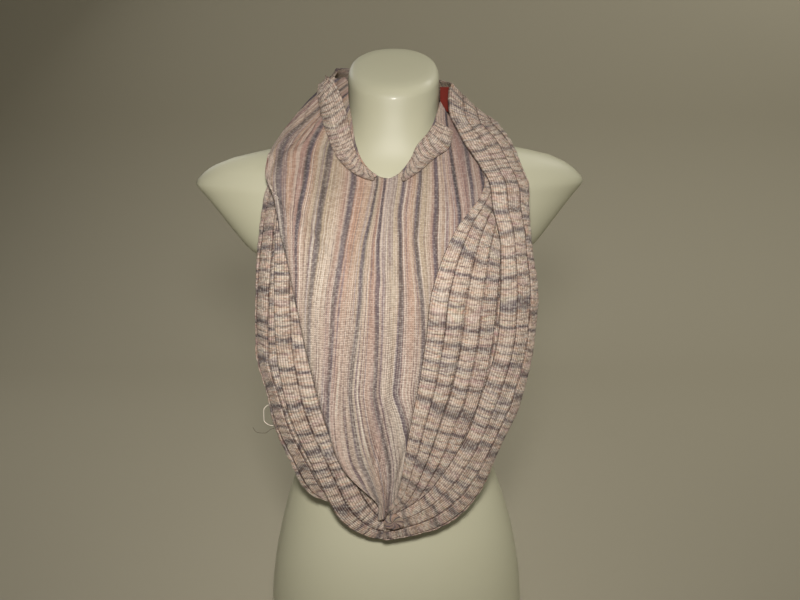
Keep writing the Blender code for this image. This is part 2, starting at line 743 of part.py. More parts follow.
def centre_on_origin():
    # Moves everything so that the middle of the whole and its base lie on the origin
    meshes = [obj.data for obj in bpy.data.objects]
    points = np.array([vertex.co for mesh in meshes for vertex in mesh.vertices])
    low, high = points.min(axis=0), points.max(axis=0)
    shift = Vector((-(low[0] + high[0]) / 2, -(low[1] + high[1]) / 2, -low[2]))
    for mesh in meshes:
        mesh.transform(Matrix.Translation(shift))


def main():
    for obj in list(bpy.data.objects):
        bpy.data.objects.remove(obj, do_unlink=True)
    ivory = make_material("ivory_plastic", (0.72, 0.70, 0.58), 0.22)
    ribbed = make_material("ribbed_knit", (0.50, 0.38, 0.34), 0.92)
    plain = make_material("plain_knit", (0.46, 0.36, 0.33), 0.92)
    rust = make_material("rust_label", (0.28, 0.03, 0.01), 0.75)

    form = make_form(ivory)
    under = [tree_of(form)]
    lower = make_ribbed("ribs_back_lower", BACK_LOWER, BACK_LOWER_RIBS, RIBBED_ROWS,
                        ribbed, under)
    under.append(tree_of(lower))
    pair = make_loop_pair("ribs_back_upper", "ribs_left_outer", ribbed, under)
    upper, left_outer, meet_points, meet_normals = pair
    under += [tree_of(upper), tree_of(left_outer)]
    left_inner = make_ribbed("ribs_left_inner", LEFT_INNER, LEFT_INNER_RIBS, RIBBED_ROWS,
                             ribbed, under)
    under.append(tree_of(left_inner))
    front = make_plain_front(plain, under)
    behind = make_plain_back(plain, under)
    under += [tree_of(front), tree_of(behind)]
    right_inner = make_ribbed("ribs_right_inner", RIGHT_INNER, RIGHT_INNER_RIBS, RIBBED_ROWS,
                              ribbed, under)
    beneath_roll = [tree_of(obj) for obj in (form, lower, left_inner, front, right_inner)]
    roll = make_roll(ribbed, beneath_roll, meet_points, meet_normals)
    under += [tree_of(right_inner), tree_of(roll)]
    make_ribbed("neck_band_left", BAND_LEFT, BAND_RIBS, BAND_LEFT_ROWS, ribbed, under)
    make_ribbed("neck_band_right", BAND_RIGHT, BAND_RIBS, BAND_RIGHT_ROWS, ribbed, under)
    make_label(rust)
    make_knot(plain, under)
    centre_on_origin()


main()
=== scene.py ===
# Looks for the infinity scarf on its dress form: the fine cloth, its knit and colours, and the stage.
#
# Metres, Z up, the front faces -Y. The tables are in millimetres and degrees, as in the part: a
# turn is the angle round the form, 0 at the middle of the front, and a height is up from the base.
# Each stretch of cloth is laid out from its table, moved to where the CAD solid of that stretch
# lies, shaped with its folds, and lifted clear of the finer cloth that it rests on.

import math

import bmesh
import bpy
import numpy as np
from mathutils import Matrix, Vector
from mathutils.bvhtree import BVHTree


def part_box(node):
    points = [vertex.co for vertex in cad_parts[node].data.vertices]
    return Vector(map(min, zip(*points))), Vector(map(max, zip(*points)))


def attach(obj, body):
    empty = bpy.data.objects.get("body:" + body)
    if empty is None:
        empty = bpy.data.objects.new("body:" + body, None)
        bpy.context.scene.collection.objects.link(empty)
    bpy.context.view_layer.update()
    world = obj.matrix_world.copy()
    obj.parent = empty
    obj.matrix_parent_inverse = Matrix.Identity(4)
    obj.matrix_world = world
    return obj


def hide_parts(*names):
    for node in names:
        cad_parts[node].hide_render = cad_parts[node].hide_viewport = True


MM = 0.001

# Cloth
RIB_CLOTH = 1.4 * MM        # thickness of the ribbed cloth at the bottom of a groove
RIB_RISE = 1.8 * MM         # how far a rib stands above its grooves
PLAIN_CLOTH = 1.6 * MM
RIBBED_RIM, PLAIN_RIM = 0.45, 0.55  # thickness at a stretch's own edge, as a share of the cloth's
INNER_RIM = 0.25            # how far the inner face is drawn in at that edge, as a share of the cloth
GAP = 0.4 * MM              # between one layer of cloth and the next
REACH = 30 * MM             # how far the cloth is searched for what lies over or under it
ROW_STEP = 2.0              # millimetres between the rows of points of a stretch
COLUMN_STEP = 1.6           # millimetres between the columns of points of a plain stretch
CHECK_ROWS = 30             # rows at which a stretch is set against its CAD solid
RIB_COLUMNS = (0, 0.03, 0.065, 0.11, 0.18, 0.3, 0.42, 0.58, 0.7, 0.82, 0.89, 0.935, 0.97)
RIB_SIDE = 0.14             # the share of a rib's width in which its side rises
RIB_PITCH = 14.5            # millimetres, for the knit's own scale
BAND_PITCH = 22.0           # millimetres between two dark bars of the ribbed cloth
WALE_PITCH = 2.1 * MM       # between two columns of stitches
COURSE_PITCH = 1.6 * MM     # between two rows of stitches
COURSES = 12                # rows of stitches from one dark stripe of the plain half to the next
BAR_STAGGER = 0.22          # how far a bar of one rib may lie off its neighbour's, in bands
PUFF = 0.55                 # part of a rib's rise that sinks at the bars
WAVER = 0.5                 # millimetres by which the cloth wavers between its folds
END_EASE = 0.04             # share of a ribbed stretch in which its folds fade out at each end
TOP_EASE = 0.03             # metres in which a plain stretch starts to waver below its top
CURL_TURN = 150.0           # degrees that a rolled edge turns through
TURN_LENGTH = 1.9           # millimetres of cloth in a degree of turn, in front
CROWN_START = 0.05          # how far into the arch of its crown a stretch's edge already is
LEVEL_POWER = 1.6           # how the plain stretch's levels hang: 1 is a straight V, 2 a round U

# Dress form
FORM_SIDES = 108
CHECK_SIDES = 36            # sides of the plainer CAD form
RING_STEP = 5.0             # most millimetres between two rings of points
TRUNK_POWER = 2.2           # 2 would make the trunk's outline an ellipse
YOKE_BLEND = 7.0            # how sharply the shoulder caps run into the trunk
YOKE_TURN = 5.0             # degrees that the shoulders turn against the hips
CAP_TILT = 27.0             # degrees that the neck's flat top leans forward

# The trunk's half width and its depth to the front and back of the axis, at each height
TRUNK = (
    # height, half_width, front, back
    (0, 131, 88, 92),
    (5, 136, 92, 97),
    (40, 142, 96, 104),
    (98, 143, 97, 106),
    (150, 139, 94, 103),
    (190, 132, 89, 95),
    (225, 123, 83, 86),
    (266, 110, 77, 77),
    (310, 99, 73, 71),
    (350, 97, 73, 70),
    (400, 104, 80, 73),
    (440, 113, 88, 77),
    (480, 120, 92, 81),
    (515, 123, 86, 85),
    (548, 120, 74, 86),
    (575, 112, 63, 82),
    (598, 96, 53, 74),
    (618, 76, 47, 64),
    (636, 58, 44.5, 54),
    (655, 49, 43.5, 47),
    (675, 46.5, 43, 45),
    (692, 46.5, 43, 45),
)

# The shoulder caps' half span and half depth, at each height that they reach
YOKE = (
    # height, half_span, half_depth
    (478, 50, 24),
    (496, 96, 36),
    (506, 124, 43),
    (513, 141, 47),
    (524, 154, 50),
    (540, 168, 51),
    (556, 181, 50),
    (572, 194, 47),
    (580, 201, 45),
    (584, 203.5, 43),
    (589, 201, 41),
    (596, 194, 39),
    (604, 182, 35),
    (611, 165, 31),
    (616, 143, 28),
    (620, 122, 26),
    (628, 88, 22),
    (642, 48, 20),
)

# How much closer together the form's points stand at its two sides, to shape the shoulder tips
SIDE_SHARE = ((440, 1.0), (500, 2.4), (612, 2.4), (640, 1.0))

# How much of the neck's forward lean each height has, from 0 to 1
LEAN = ((598, 0.0), (625, 0.25), (655, 0.65), (685, 1.0))

# How far the trunk's axis stands to +X at each height, as in an easy standing pose
SWAY = ((0, 4.0), (200, 4.0), (340, 1.0), (480, 0.0), (600, 0.5), (700, 1.5))

# The rings of the form, and the small steps that round the edge of its top
FORM_HEIGHTS = (0, 5, 40, 85, 130, 170, 205, 240, 275, 315, 350, 385, 420, 455, 480, 496, 506, 513,
                524, 540, 556, 572, 580, 584, 589, 596, 604, 611, 616, 620, 628, 637, 648, 661,
                676, 690)
CAP_EDGE = ((692, 0.998), (694, 0.99), (698, 0.95), (700.5, 0.87), (701.5, 0.70), (701.8, 0.45),
            (701.9, 0.15))

# The surface that the cloth rests on: its reach from the axis to each side
DRAPE = (
    # height, left, right, front, back, square
    (702, 47, 48, 46, 50, 2.0),
    (690, 51, 51, 47, 52, 2.0),
    (678, 59, 57, 48, 55, 2.0),
    (660, 72, 71, 49, 60, 2.0),
    (647, 80, 84, 51, 65, 2.0),
    (622, 101, 115, 58, 76, 2.0),
    (600, 129, 141, 64, 84, 2.1),
    (585, 147, 157, 71, 88, 2.2),
    (560, 157, 161, 82, 92, 2.4),
    (540, 160, 161, 92, 92, 2.5),
    (500, 160, 161, 105, 90, 2.7),
    (460, 160, 161, 109, 88, 2.8),
    (400, 160, 161, 109, 88, 2.8),
    (320, 160, 160, 105, 88, 2.6),
    (260, 160, 160, 101, 94, 2.3),
    (220, 160, 160, 98, 94, 2.2),
)

# The cloth's edge round the neck, low in front and high at the sides and behind. Here and in both
# bands the numbers follow the photograph more closely than the plain solids do.
NECK_EDGE = (
    # turn, height
    (-180, 697), (-115, 693), (-85, 688), (-64, 687), (-47, 690), (-30, 658), (-19, 622), (-7, 597),
    (-1, 592), (3, 596), (6, 608), (10, 620), (15, 630), (23, 641), (35, 659), (48, 674), (64, 680),
    (98, 684), (140, 691), (180, 697),
)

# The ribbed loop, from the bottom of the front up the right side, round the back and down the
# left side to the bottom again. Inner is the edge nearer the neck. Curl is the radius in which the
# outer edge rolls under, and crown is how far the stretch bulges between its edges.
LOOP = (
    # inner_turn, inner_height, outer_turn, outer_height, lift, crown, curl
    (-2, 261, -3, 232, 14, 2, 4),
    (10, 284, 18, 246, 12, 3, 6),
    (18, 313, 31, 278, 10, 4, 8),
    (25, 350, 38, 324, 11, 5, 9),
    (30, 391, 47, 372, 11, 5, 9),
    (35, 437, 53, 426, 11, 5, 9),
    (36, 484, 55, 480, 11, 5, 9),
    (36, 528, 51, 530, 11, 5, 9),
    (33, 571, 50, 568, 11, 5, 8),
    (34, 601, 57, 597, 10, 5, 6),
    (35, 627, 71, 621, 8, 5, 4),
    (40, 652, 84, 639, 5, 5, 0),
    (53, 671, 96, 638, 4, 5, 0),
    (72, 681, 110, 635, 3, 5, 0),
    (104, 685, 130, 634, 3, 5, 0),
    (142, 691, 154, 636, 3, 5, 0),
    (180, 696, 180, 640, 3, 5, 0),
    (212, 692, 206, 639, 3, 5, 0),
    (236, 684, 227, 634, 3, 4, 0),
    (256, 674, 246, 628, 3, 4, 0),
    (272, 662, 262, 625, 3, 3, 0),
    (286, 648, 274, 622, 2, 3, 0),
    (300, 626, 292, 614, 1, 3, 0),
    (322, 592, 308, 584, 1, 3, 1),
    (328, 548, 307, 543, 1, 3, 4),
    (330, 508, 305, 505, 1, 3, 6),
    (329, 466, 304, 466, 1, 3, 7),
    (329, 423, 303, 425, 1, 3, 7),
    (332, 380, 309, 384, 1, 3, 7),
    (337, 344, 313, 346, 1, 3, 6),
    (342, 310, 320, 311, 1, 2, 5),
    (347, 282, 327, 279, 1, 2, 4),
    (350, 268, 339, 268, 1, 2, 3),
)

# The rows of the loop where one stretch ends and the next begins
LOOP_STRETCHES = {
    # name: first_row, last_row
    "ribs_right_outer": (0, 13),
    "ribs_back_upper": (13, 20),
    "ribs_left_outer": (20, 32),
}
END_GAP = 0.0003            # rows left free at each end of a stretch, so that two never meet

# The rest of the ribbed half, behind the neck, lies under the loop and spreads below it
BACK_LOWER = (
    # inner_turn, inner_height, outer_turn, outer_height, lift, crown, curl
    (60, 646, 78, 624, 1, 2, 0),
    (80, 651, 94, 624, 1, 3, 0),
    (100, 652, 110, 619, 1, 4, 0),
    (122, 653, 127, 603, 1, 5, 0),
    (148, 654, 150, 586, 1, 5, 0),
    (180, 655, 180, 578, 1, 5, 0),
    (212, 654, 210, 585, 1, 5, 0),
    (236, 650, 232, 602, 1, 4, 0),
    (256, 645, 249, 619, 1, 3, 0),
    (274, 638, 264, 623, 1, 2, 0),
)

# The wider ribbed fold on the right, which lies on the plain stretch
RIGHT_INNER = (
    # inner_turn, inner_height, outer_turn, outer_height, lift, crown, curl
    (-2, 267, 1, 246, 6, 2, 0),
    (2, 289, 12, 268, 6, 3, 0),
    (4, 322, 22, 300, 6, 3, 0),
    (6, 359, 30, 338, 6, 3, 0),
    (9, 406, 37, 386, 6, 4, 0),
    (11, 447, 41, 436, 6, 4, 0),
    (13, 493, 43, 488, 6, 4, 0),
    (20, 541, 44, 537, 6, 4, 0),
    (31, 579, 47, 580, 6, 4, 0),
    (38, 612, 50, 612, 6, 3, 0),
)

# The ribbed fold that comes out under the plain stretch's left edge
LEFT_INNER = (
    # inner_turn, inner_height, outer_turn, outer_height, lift, crown, curl
    (1, 256, 1, 229, 3, 2, 0),
    (-2, 268, -9, 234, 3, 3, 0),
    (-5, 290, -19, 256, 3, 3, 0),
    (-9, 325, -28, 310, 3, 3, 0),
    (-14, 368, -36, 359, 3, 3, 0),
    (-17, 407, -40, 401, 3, 3, 0),
    (-19, 455, -42, 451, 3, 3, 0),
    (-20, 502, -42, 499, 3, 3, 0),
    (-20, 547, -42, 545, 3, 2, 0),
    (-24, 583, -45, 582, 3, 2, 0),
)

# The plain stretch: one row for each level from the neck edge to the point at the bottom. Its
# upper levels hang in a V between the shoulders, which the middle height sets.
PLAIN_FRONT = (
    # left_turn, left_height, middle_height, right_turn, right_height, lift, crown, curl, neck_share
    (-74, 699, 593, 42, 669, 5, 0, 0, 1.0),
    (-73, 675, 575, 42, 650, 6, 0, 1, 0.8),
    (-72, 648, 552, 41, 628, 7, 0, 2, 0.5),
    (-66, 618, 528, 38, 600, 7, 1, 3, 0.3),
    (-45, 584, 492, 36, 558, 7, 2, 4, 0.1),
    (-37, 541, 452, 30, 508, 7, 3, 4, 0),
    (-32, 490, 412, 25, 453, 7, 3, 4, 0),
    (-28, 433, 372, 19, 402, 7, 3, 4, 0),
    (-23, 372, 333, 13, 352, 7, 3, 4, 0),
    (-17, 318, 298, 7, 304, 7, 3, 4, 0),
    (-6, 280, 277, 3, 277, 7, 3, 3, 0),
    (-5, 259, 258, 2, 258, 7, 2, 1, 0),
)

# The plain stretch behind the left shoulder, where it narrows and runs under the ribs
PLAIN_BACK = (
    # inner_turn, inner_height, outer_turn, outer_height, lift, crown, curl
    (-78, 699, -71, 620, 5, 1, 0),
    (-92, 699, -90, 627, 5, 2, 0),
    (-112, 699, -112, 622, 5, 3, 0),
    (-132, 699, -130, 622, 5, 3, 0),
    (-150, 698, -148, 640, 5, 3, 0),
    (-166, 698, -165, 668, 5, 2, 0),
    (-178, 698, -178, 688, 5, 1, 0),
)

# The turned edge along both sides of the neck
BAND_LEFT = (
    # inner_turn, inner_height, outer_turn, outer_height, lift, crown, curl
    (-5, 598, -8, 588, 8, 1, 0),
    (-10, 607, -17, 597, 8, 1, 0),
    (-17, 621, -26, 611, 8, 2, 0),
    (-25, 641, -37, 631, 8, 2, 0),
    (-32, 659, -47, 648, 8, 2, 0),
    (-42, 674, -56, 660, 8, 2, 0),
    (-54, 682, -62, 666, 7, 2, 0),
    (-66, 682, -68, 674, 4, 1, 0),
)
BAND_RIGHT = (
    # inner_turn, inner_height, outer_turn, outer_height, lift, crown, curl
    (2, 598, 5, 587, 8, 1, 0),
    (6, 611, 13, 602, 8, 1, 0),
    (10, 623, 19, 613, 8, 2, 0),
    (16, 633, 26, 621, 8, 2, 0),
    (23, 642, 31, 630, 7, 2, 0),
    (28, 648, 34, 636, 6, 1, 0),
)


def smooth_between(low, high, slope_low, slope_high, part, gap=1.0):
    # A smooth curve from one value to the next, with the slopes given at both
    rise = part ** 2 * (3 - 2 * part)
    early = gap * part * (1 - part) ** 2
    late = gap * part ** 2 * (part - 1)
    return low + (high - low) * rise + slope_low * early + slope_high * late


def smooth_rows(rows, stations):
    # Values of a table at each station from 0 to 1, on smooth curves through its rows
    table = np.array(rows, dtype=float)
    last = len(table) - 1
    at = np.clip(np.asarray(stations) * last, 0, last)
    index = np.minimum(at.astype(int), last - 1)
    step = np.diff(table, axis=0)
    before, after = np.vstack([step[:1], step]), np.vstack([step, step[-1:]])
    slope = np.where(before * after > 0, np.gradient(table, axis=0), 0.0)
    part = (at - index)[:, None]
    return smooth_between(table[index], table[index + 1], slope[index], slope[index + 1], part)


def by_height(table, height):
    # Each column of a table whose first column is the height, on smooth curves
    rows = np.array(sorted(table), dtype=float)
    heights = rows[:, 0]
    height = np.clip(np.asarray(height, dtype=float), heights[0], heights[-1])
    index = np.clip(np.searchsorted(heights, height) - 1, 0, len(rows) - 2)
    gap = heights[index + 1] - heights[index]
    part = (height - heights[index]) / gap
    columns = []
    for values in rows[:, 1:].T:
        step = np.diff(values) / np.diff(heights)
        slope = np.concatenate([step[:1], (step[1:] + step[:-1]) / 2, step[-1:]])
        flat = np.concatenate([[False], step[1:] * step[:-1] <= 0, [False]])
        slope[flat] = 0.0
        columns.append(smooth_between(
            values[index], values[index + 1], slope[index], slope[index + 1], part, gap))
    return columns


def unit(vectors):
    length = np.linalg.norm(vectors, axis=-1, keepdims=True)
    return vectors / np.maximum(length, 1e-12)


def drape_point(turn, height, lift=0.0):
    # A point on the surface that the cloth rests on, moved out by lift, in millimetres
    left, right, front, back, square = by_height(DRAPE, height)
    angle = np.radians(turn)
    across = np.sin(angle)
    facing = np.sign(np.cos(angle))
    square = np.where(facing > 0, square, 2.0)
    ahead = facing * (1 - np.minimum(np.abs(across), 1.0) ** square) ** (1 / square)
    side = np.where(across < 0, left, right) + lift
    depth = np.where(facing > 0, front, back) + lift
    return np.stack([side * across, -depth * ahead, np.asarray(height, dtype=float)], axis=-1)


def drape_normal(turn, height):
    # The outward direction of that surface
    across = drape_point(turn + 0.5, height) - drape_point(turn - 0.5, height)
    up = drape_point(turn, height + 1.0) - drape_point(turn, height - 1.0)
    return unit(np.cross(across, up))


def uneven(values, seed, length):
    # A smooth uneven wave from -1 to 1, with hills about that length apart
    dice = np.random.default_rng(seed)
    values = np.asarray(values, dtype=float)
    total = np.zeros_like(values)
    for share in (1.0, 0.62, 0.37):
        total += share * np.sin(2 * math.pi * values / (length * share) + dice.uniform(0, 6.28))
    return total / 2


def blur(values, reach_rows, reach_columns):
    # Each value becomes the mean of those round it
    for axis, reach in ((0, reach_rows), (1, reach_columns)):
        pad = [(0, 0), (0, 0)]
        pad[axis] = (reach + 1, reach)
        total = np.cumsum(np.pad(values, pad, mode="edge"), axis=axis)
        span = 2 * reach + 1
        count = values.shape[axis]
        high = np.take(total, np.arange(span, span + count), axis=axis)
        values = (high - np.take(total, np.arange(count), axis=axis)) / span
    return values


def between(values, rows_at, columns_at, rows_to, columns_to):
    # The values of a coarse grid at the rows and columns of a finer one
    wide = np.array([np.interp(columns_to, columns_at, row) for row in values])
    return np.array([np.interp(rows_to, rows_at, column) for column in wide.T]).T


def surface_normals(points, outward):
    along = np.gradient(points, axis=0)
    across = np.gradient(points, axis=1)
    normals = unit(np.cross(across, along))
    return normals if np.sum(normals[:, 0] * outward[:, 0]) > 0 else -normals


def length_along(points):
    # The length from the first row to each row, at the middle of the stretch
    steps = np.linalg.norm(np.diff(points, axis=0), axis=-1).mean(axis=1)
    return np.concatenate([[0], np.cumsum(steps)])


# Main folds, listed one by one: where each lies across its stretch at its start and end, how far along it
# runs, how high it stands (a trough is below 0), and how wide it is on each side
CREASES = (
    # stretch, first_along, last_along, first_across, last_across, rise, near_width, far_width
    ("plain_front", -0.2, 0.30, 0.955, 0.90, 2.6, 0.030, 0.050),
    ("plain_front", -0.2, 0.36, 0.905, 0.84, -2.4, 0.025, 0.030),
    ("plain_front", -0.1, 0.45, 0.80, 0.79, 2.2, 0.035, 0.055),
    ("plain_front", 0.02, 0.50, 0.70, 0.72, -1.8, 0.030, 0.030),
    ("plain_front", 0.12, 1.10, 0.46, 0.50, -4.4, 0.022, 0.045),
    ("plain_front", 0.16, 1.00, 0.37, 0.40, 3.6, 0.050, 0.028),
    ("plain_front", 0.03, 0.28, 0.67, 0.55, 2.8, 0.014, 0.030),
    ("plain_front", 0.05, 0.30, 0.635, 0.515, -2.4, 0.025, 0.014),
    ("plain_front", 0.02, 0.22, 0.86, 0.80, -3.0, 0.014, 0.020),
    ("plain_front", 0.08, 0.30, 0.94, 0.86, -3.0, 0.012, 0.018),
    ("plain_front", 0.20, 1.00, 0.25, 0.22, -1.8, 0.020, 0.030),
    ("plain_front", 0.40, 1.10, 0.62, 0.64, 2.0, 0.040, 0.040),
    ("plain_front", 0.45, 1.10, 0.73, 0.75, -2.0, 0.025, 0.035),
    ("plain_front", 0.55, 1.10, 0.12, 0.16, -1.6, 0.020, 0.030),
    ("ribs_right_inner", 0.10, 0.90, 0.45, 0.35, -2.2, 0.05, 0.07),
    ("ribs_right_outer", 0.02, 0.55, 0.30, 0.45, -1.5, 0.05, 0.08),
    ("ribs_left_outer", 0.30, 1.00, 0.60, 0.50, 1.5, 0.08, 0.08),
    ("ribs_back_upper", 0.05, 0.90, 0.62, 0.55, -2.0, 0.06, 0.09),
    ("ribs_back_upper", 0.30, 1.20, 0.20, 0.35, 1.8, 0.10, 0.06),
    ("ribs_back_lower", 0.10, 0.70, 0.45, 0.60, -2.0, 0.06, 0.08),
    ("ribs_back_lower", 0.40, 1.00, 0.75, 0.60, 1.8, 0.10, 0.06),
    ("plain_back", 0.0, 0.8, 0.45, 0.40, -2.0, 0.08, 0.10),
)


# The main dark stripes of the plain stretch, placed after the photograph
STRIPES = (
    # height, then how far each dark stripe lies to the right of the middle, in mm
    (690, -32, -24, -16, -10, -6, -2, 16, 30, 41, 52, 62),
    (670, -62, -50, -38, -26, -10, -3, 16, 30, 42, 53, 62),
    (650, -84, -66, -49, -33, -12, -4, 15, 30, 42, 54, 63),
    (635, -102, -75, -56, -35, -13, -5, 14, 29, 42, 55, 68),
    (622, -111, -80, -61, -36, -13, -6, 14, 29, 42, 57, 73),
    (590, -110, -84, -65, -37, -13, -8, 12, 27, 43, 62, 78),
    (565, -105, -89, -69, -41, -18, -11, 8, 24, 43, 66, 80),
    (540, -101, -91, -71, -45, -24, -13, 9, 22, 41, 66, 80),
    (510, -98, -90, -74, -51, -28, -14, 9, 25, 42, 62, 80),
    (480, -98, -90, -78, -55, -30, -14, 9, 29, 42, 60, 80),
    (450, -100, -92, -79, -57, -34, -14, 8, 31, 42, 58, 78),
    (420, -102, -93, -80, -59, -38, -15, 6, 30, 42, 56, 76),
    (390, -104, -95, -82, -61, -41, -17, 3, 27, 40, 50, 70),
    (370, -106, -97, -83, -63, -39, -14, 11, 27, 38, 48, 64),
    (352, -108, -98, -84, -63, -37, -10, 15, 28, 38, 48, 60),
    (334, -108, -98, -82, -62, -34, -6, 16, 28, 37, 46, 58),
    (318, -100, -90, -76, -58, -30, -2, 15, 27, 35, 44, 54),
    (300, -90, -78, -64, -46, -22, -1, 12, 23, 31, 40, 50),
    (280, -70, -58, -46, -30, -14, -3, 8, 15, 22, 30, 40),
)

FIRST_STRIPE = 9            # the place of the leftmost dark stripe; the others count down from it
STRIPES_APART = (20, 11)    # millimetres between the places beyond them, to the left and right


def stripe_places(points):
    # The place of each point among the stripes: a whole number on each dark one
    rows = np.array(STRIPES, dtype=float)[::-1]
    across = points[:, :, 0] / MM - shift.x / MM
    height = points[:, :, 2] / MM
    marks = np.array([np.interp(height, rows[:, 0], column) for column in rows[:, 1:].T])
    places = FIRST_STRIPE + (marks[0] - across) / STRIPES_APART[0]
    for k in range(len(marks) - 1):
        part = (across - marks[k]) / (marks[k + 1] - marks[k])
        places = np.where(part >= 0, FIRST_STRIPE - k - np.minimum(part, 1), places)
    return places - np.maximum(across - marks[-1], 0) / STRIPES_APART[1]


# Where the bars lie closer together: places along a stretch, then the share of their usual distance
TIGHTENED = {
    "ribs_right_outer": ((0.0, 0.62, 0.8, 1.0), (1.0, 1.0, 0.5, 0.42)),
    "ribs_left_outer": ((0.0, 0.25, 0.5, 1.0), (0.7, 1.0, 1.0, 1.0)),
}

# The neck bands are rolled like a string of beads: the part of each that tapers towards the front
BEADED = {"neck_band_left": 0.5, "neck_band_right": 0.5}
BEAD_RISE = 4.8 * MM
BEAD_SINK = 1.2 * MM        # how far a bead's edges lie below an ordinary rib's
BEAD_BOW = 0.16             # how far a bar bows along a bead, as a share of the distance between bars
BAND_TIP = 0.35             # a band's width at its front end, as a share of its full width


def crease_rise(name, along, across):
    # How far the listed folds lift each point of a stretch, in millimetres
    rise = np.zeros(np.broadcast(along, across).shape)
    for stretch, first, last, start, end, height, near, far in CREASES:
        if stretch != name:
            continue
        way = np.clip((along - first) / (last - first), 0, 1)
        off = across - (start + (end - start) * way) - 0.01 * np.sin(way * 11 + start * 40)
        width = np.where(off < 0, near, far)
        rise = rise + height * np.sin(math.pi * way) ** 0.7 * np.exp(-(off / width) ** 2)
    return rise


def rolled_under(point, outward, normal, curl, angle):
    # A point carried round the roll of the edge, which has the radius curl
    outward = unit(outward - normal * np.sum(outward * normal, axis=-1, keepdims=True))
    angle = angle[..., None]
    return point + curl[..., None] * (outward * np.sin(angle) - normal * (1 - np.cos(angle)))


def ribbed_layout(rows, stations, shares):
    # The inner surface of a ribbed stretch as its table gives it, and which points aren't rolled
    table = smooth_rows(rows, stations)
    in_turn, in_height, out_turn, out_height, lift, crown, curl = (table[:, k:k + 1] for k in range(7))
    inner = drape_point(in_turn, in_height, lift)
    outer = drape_point(out_turn, out_height, lift)
    width = np.linalg.norm(outer - inner, axis=-1)
    length = width - curl + curl * math.radians(CURL_TURN)
    run = np.asarray(shares)[None, :] * length
    flat_run = np.minimum(run, width - curl)
    part = flat_run / width
    turn = in_turn + (out_turn - in_turn) * part
    height = in_height + (out_height - in_height) * part
    normal = drape_normal(turn, height)
    arch = np.minimum(CROWN_START + part * (1 - 2 * CROWN_START), 1)
    point = drape_point(turn, height, lift + crown * np.sin(math.pi * arch))
    flat = run <= width - curl + 1e-6
    angle = np.where(flat, 0, (run - flat_run) / np.maximum(curl, 1e-6))
    return rolled_under(point, outer - inner, normal, curl, angle), normal, flat


def neck_height(turn):
    turns, heights = zip(*NECK_EDGE)
    near = [np.interp(turn + off, turns, heights) for off in (-4, -2, 0, 2, 4)]
    return sum(near) / len(near)


def plain_level(left_turn, left_height, middle, right_turn, right_height, turn):
    side = np.where(turn > 0, turn / right_turn, turn / left_turn)
    end = np.where(turn > 0, right_height, left_height)
    return middle + (end - middle) * np.abs(side) ** LEVEL_POWER


def plain_layout(rows, stations, shares):
    # The inner surface of the plain stretch in front
    table = smooth_rows(rows, stations)
    columns = [table[:, k:k + 1] for k in range(9)]
    left_turn, left_height, middle, right_turn, right_height, lift, crown, curl, neck = columns
    span = right_turn - left_turn
    roll = np.maximum(curl / (span * TURN_LENGTH), 1e-6)
    share = np.asarray(shares)[None, :]
    rolled = np.maximum(0, share - (1 - roll))
    part = np.minimum(share, 1 - roll)
    turn = right_turn - span * part
    first = PLAIN_FRONT[0]
    top_turn = first[3] + (first[0] - first[3]) * part
    height = plain_level(left_turn, left_height, middle, right_turn, right_height, turn)
    height = height + neck * (neck_height(top_turn) - plain_level(*first[:5], top_turn))
    normal = drape_normal(turn, height)
    point = drape_point(turn, height, lift + crown * np.sin(math.pi * part))
    outward = drape_point(turn - 1, height) - drape_point(turn, height)
    point = rolled_under(point, outward, normal, curl, rolled / roll * math.pi / 2)
    return point, normal, rolled == 0


def tree_of(obj):
    mesh = obj.data
    return BVHTree.FromPolygons([v.co for v in mesh.vertices], [tuple(p.vertices) for p in mesh.polygons])


def solid_offsets(name, layout, rows, stations, shares):
    # How far the outer face of a CAD solid lies off its table's surface, at each station and share
    points, normals, flat = layout(rows, stations, shares)
    tree = tree_of(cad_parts[name])
    found = np.full(flat.shape, np.nan)
    for i, j in zip(*np.nonzero(flat)):
        normal = Vector(normals[i, j])
        hit = tree.ray_cast(Vector(points[i, j] * MM) + shift + normal * 2 * REACH, -normal, 3 * REACH)
        if hit[0] is not None:
            found[i, j] = 2 * REACH - hit[3]
    for i in range(flat.shape[0]):
        known = ~np.isnan(found[i])
        if known.any():
            found[i] = np.interp(shares, np.array(shares)[known], found[i][known])
    known = ~np.isnan(found[:, 0])
    for j in range(flat.shape[1]):
        found[:, j] = np.interp(stations, stations[known], found[known, j])
    return found


def clear_of(points, directions, flat, thickness, beneath):
    # Lifts the cloth where it would dip into what lies beneath it
    for _ in range(2):
        push = np.zeros(flat.shape)
        for i in range(0, flat.shape[0], 2):
            for j in range(0, flat.shape[1], 2):
                normal = Vector(directions[i, j])
                depth = thickness if flat[i, j] else 0.0
                start = Vector(points[i, j]) + normal * (REACH - depth)
                for tree in beneath:
                    hit = tree.ray_cast(start, -normal, REACH + GAP)
                    if hit[0] is not None:
                        push[i, j] = max(push[i, j], REACH - hit[3] + GAP)
        near = push.copy()
        for down in range(-4, 5):
            for right in range(-3, 4):
                near = np.maximum(near, np.roll(np.roll(push, down, 0), right, 1))
        for i in range(flat.shape[0]):
            last = np.nonzero(flat[i])[0][-1]
            near[i, last:] = near[i, last:].max()
        points = points + directions * blur(near, 3, 2)[..., None]
    return points


def row_stations(layout, rows, span, shares):
    # Evenly spaced stations, one for each row of points
    rough, _, _ = layout(rows, np.linspace(*span, CHECK_ROWS), shares)
    return np.linspace(*span, int(length_along(rough)[-1] / ROW_STEP) + 2)


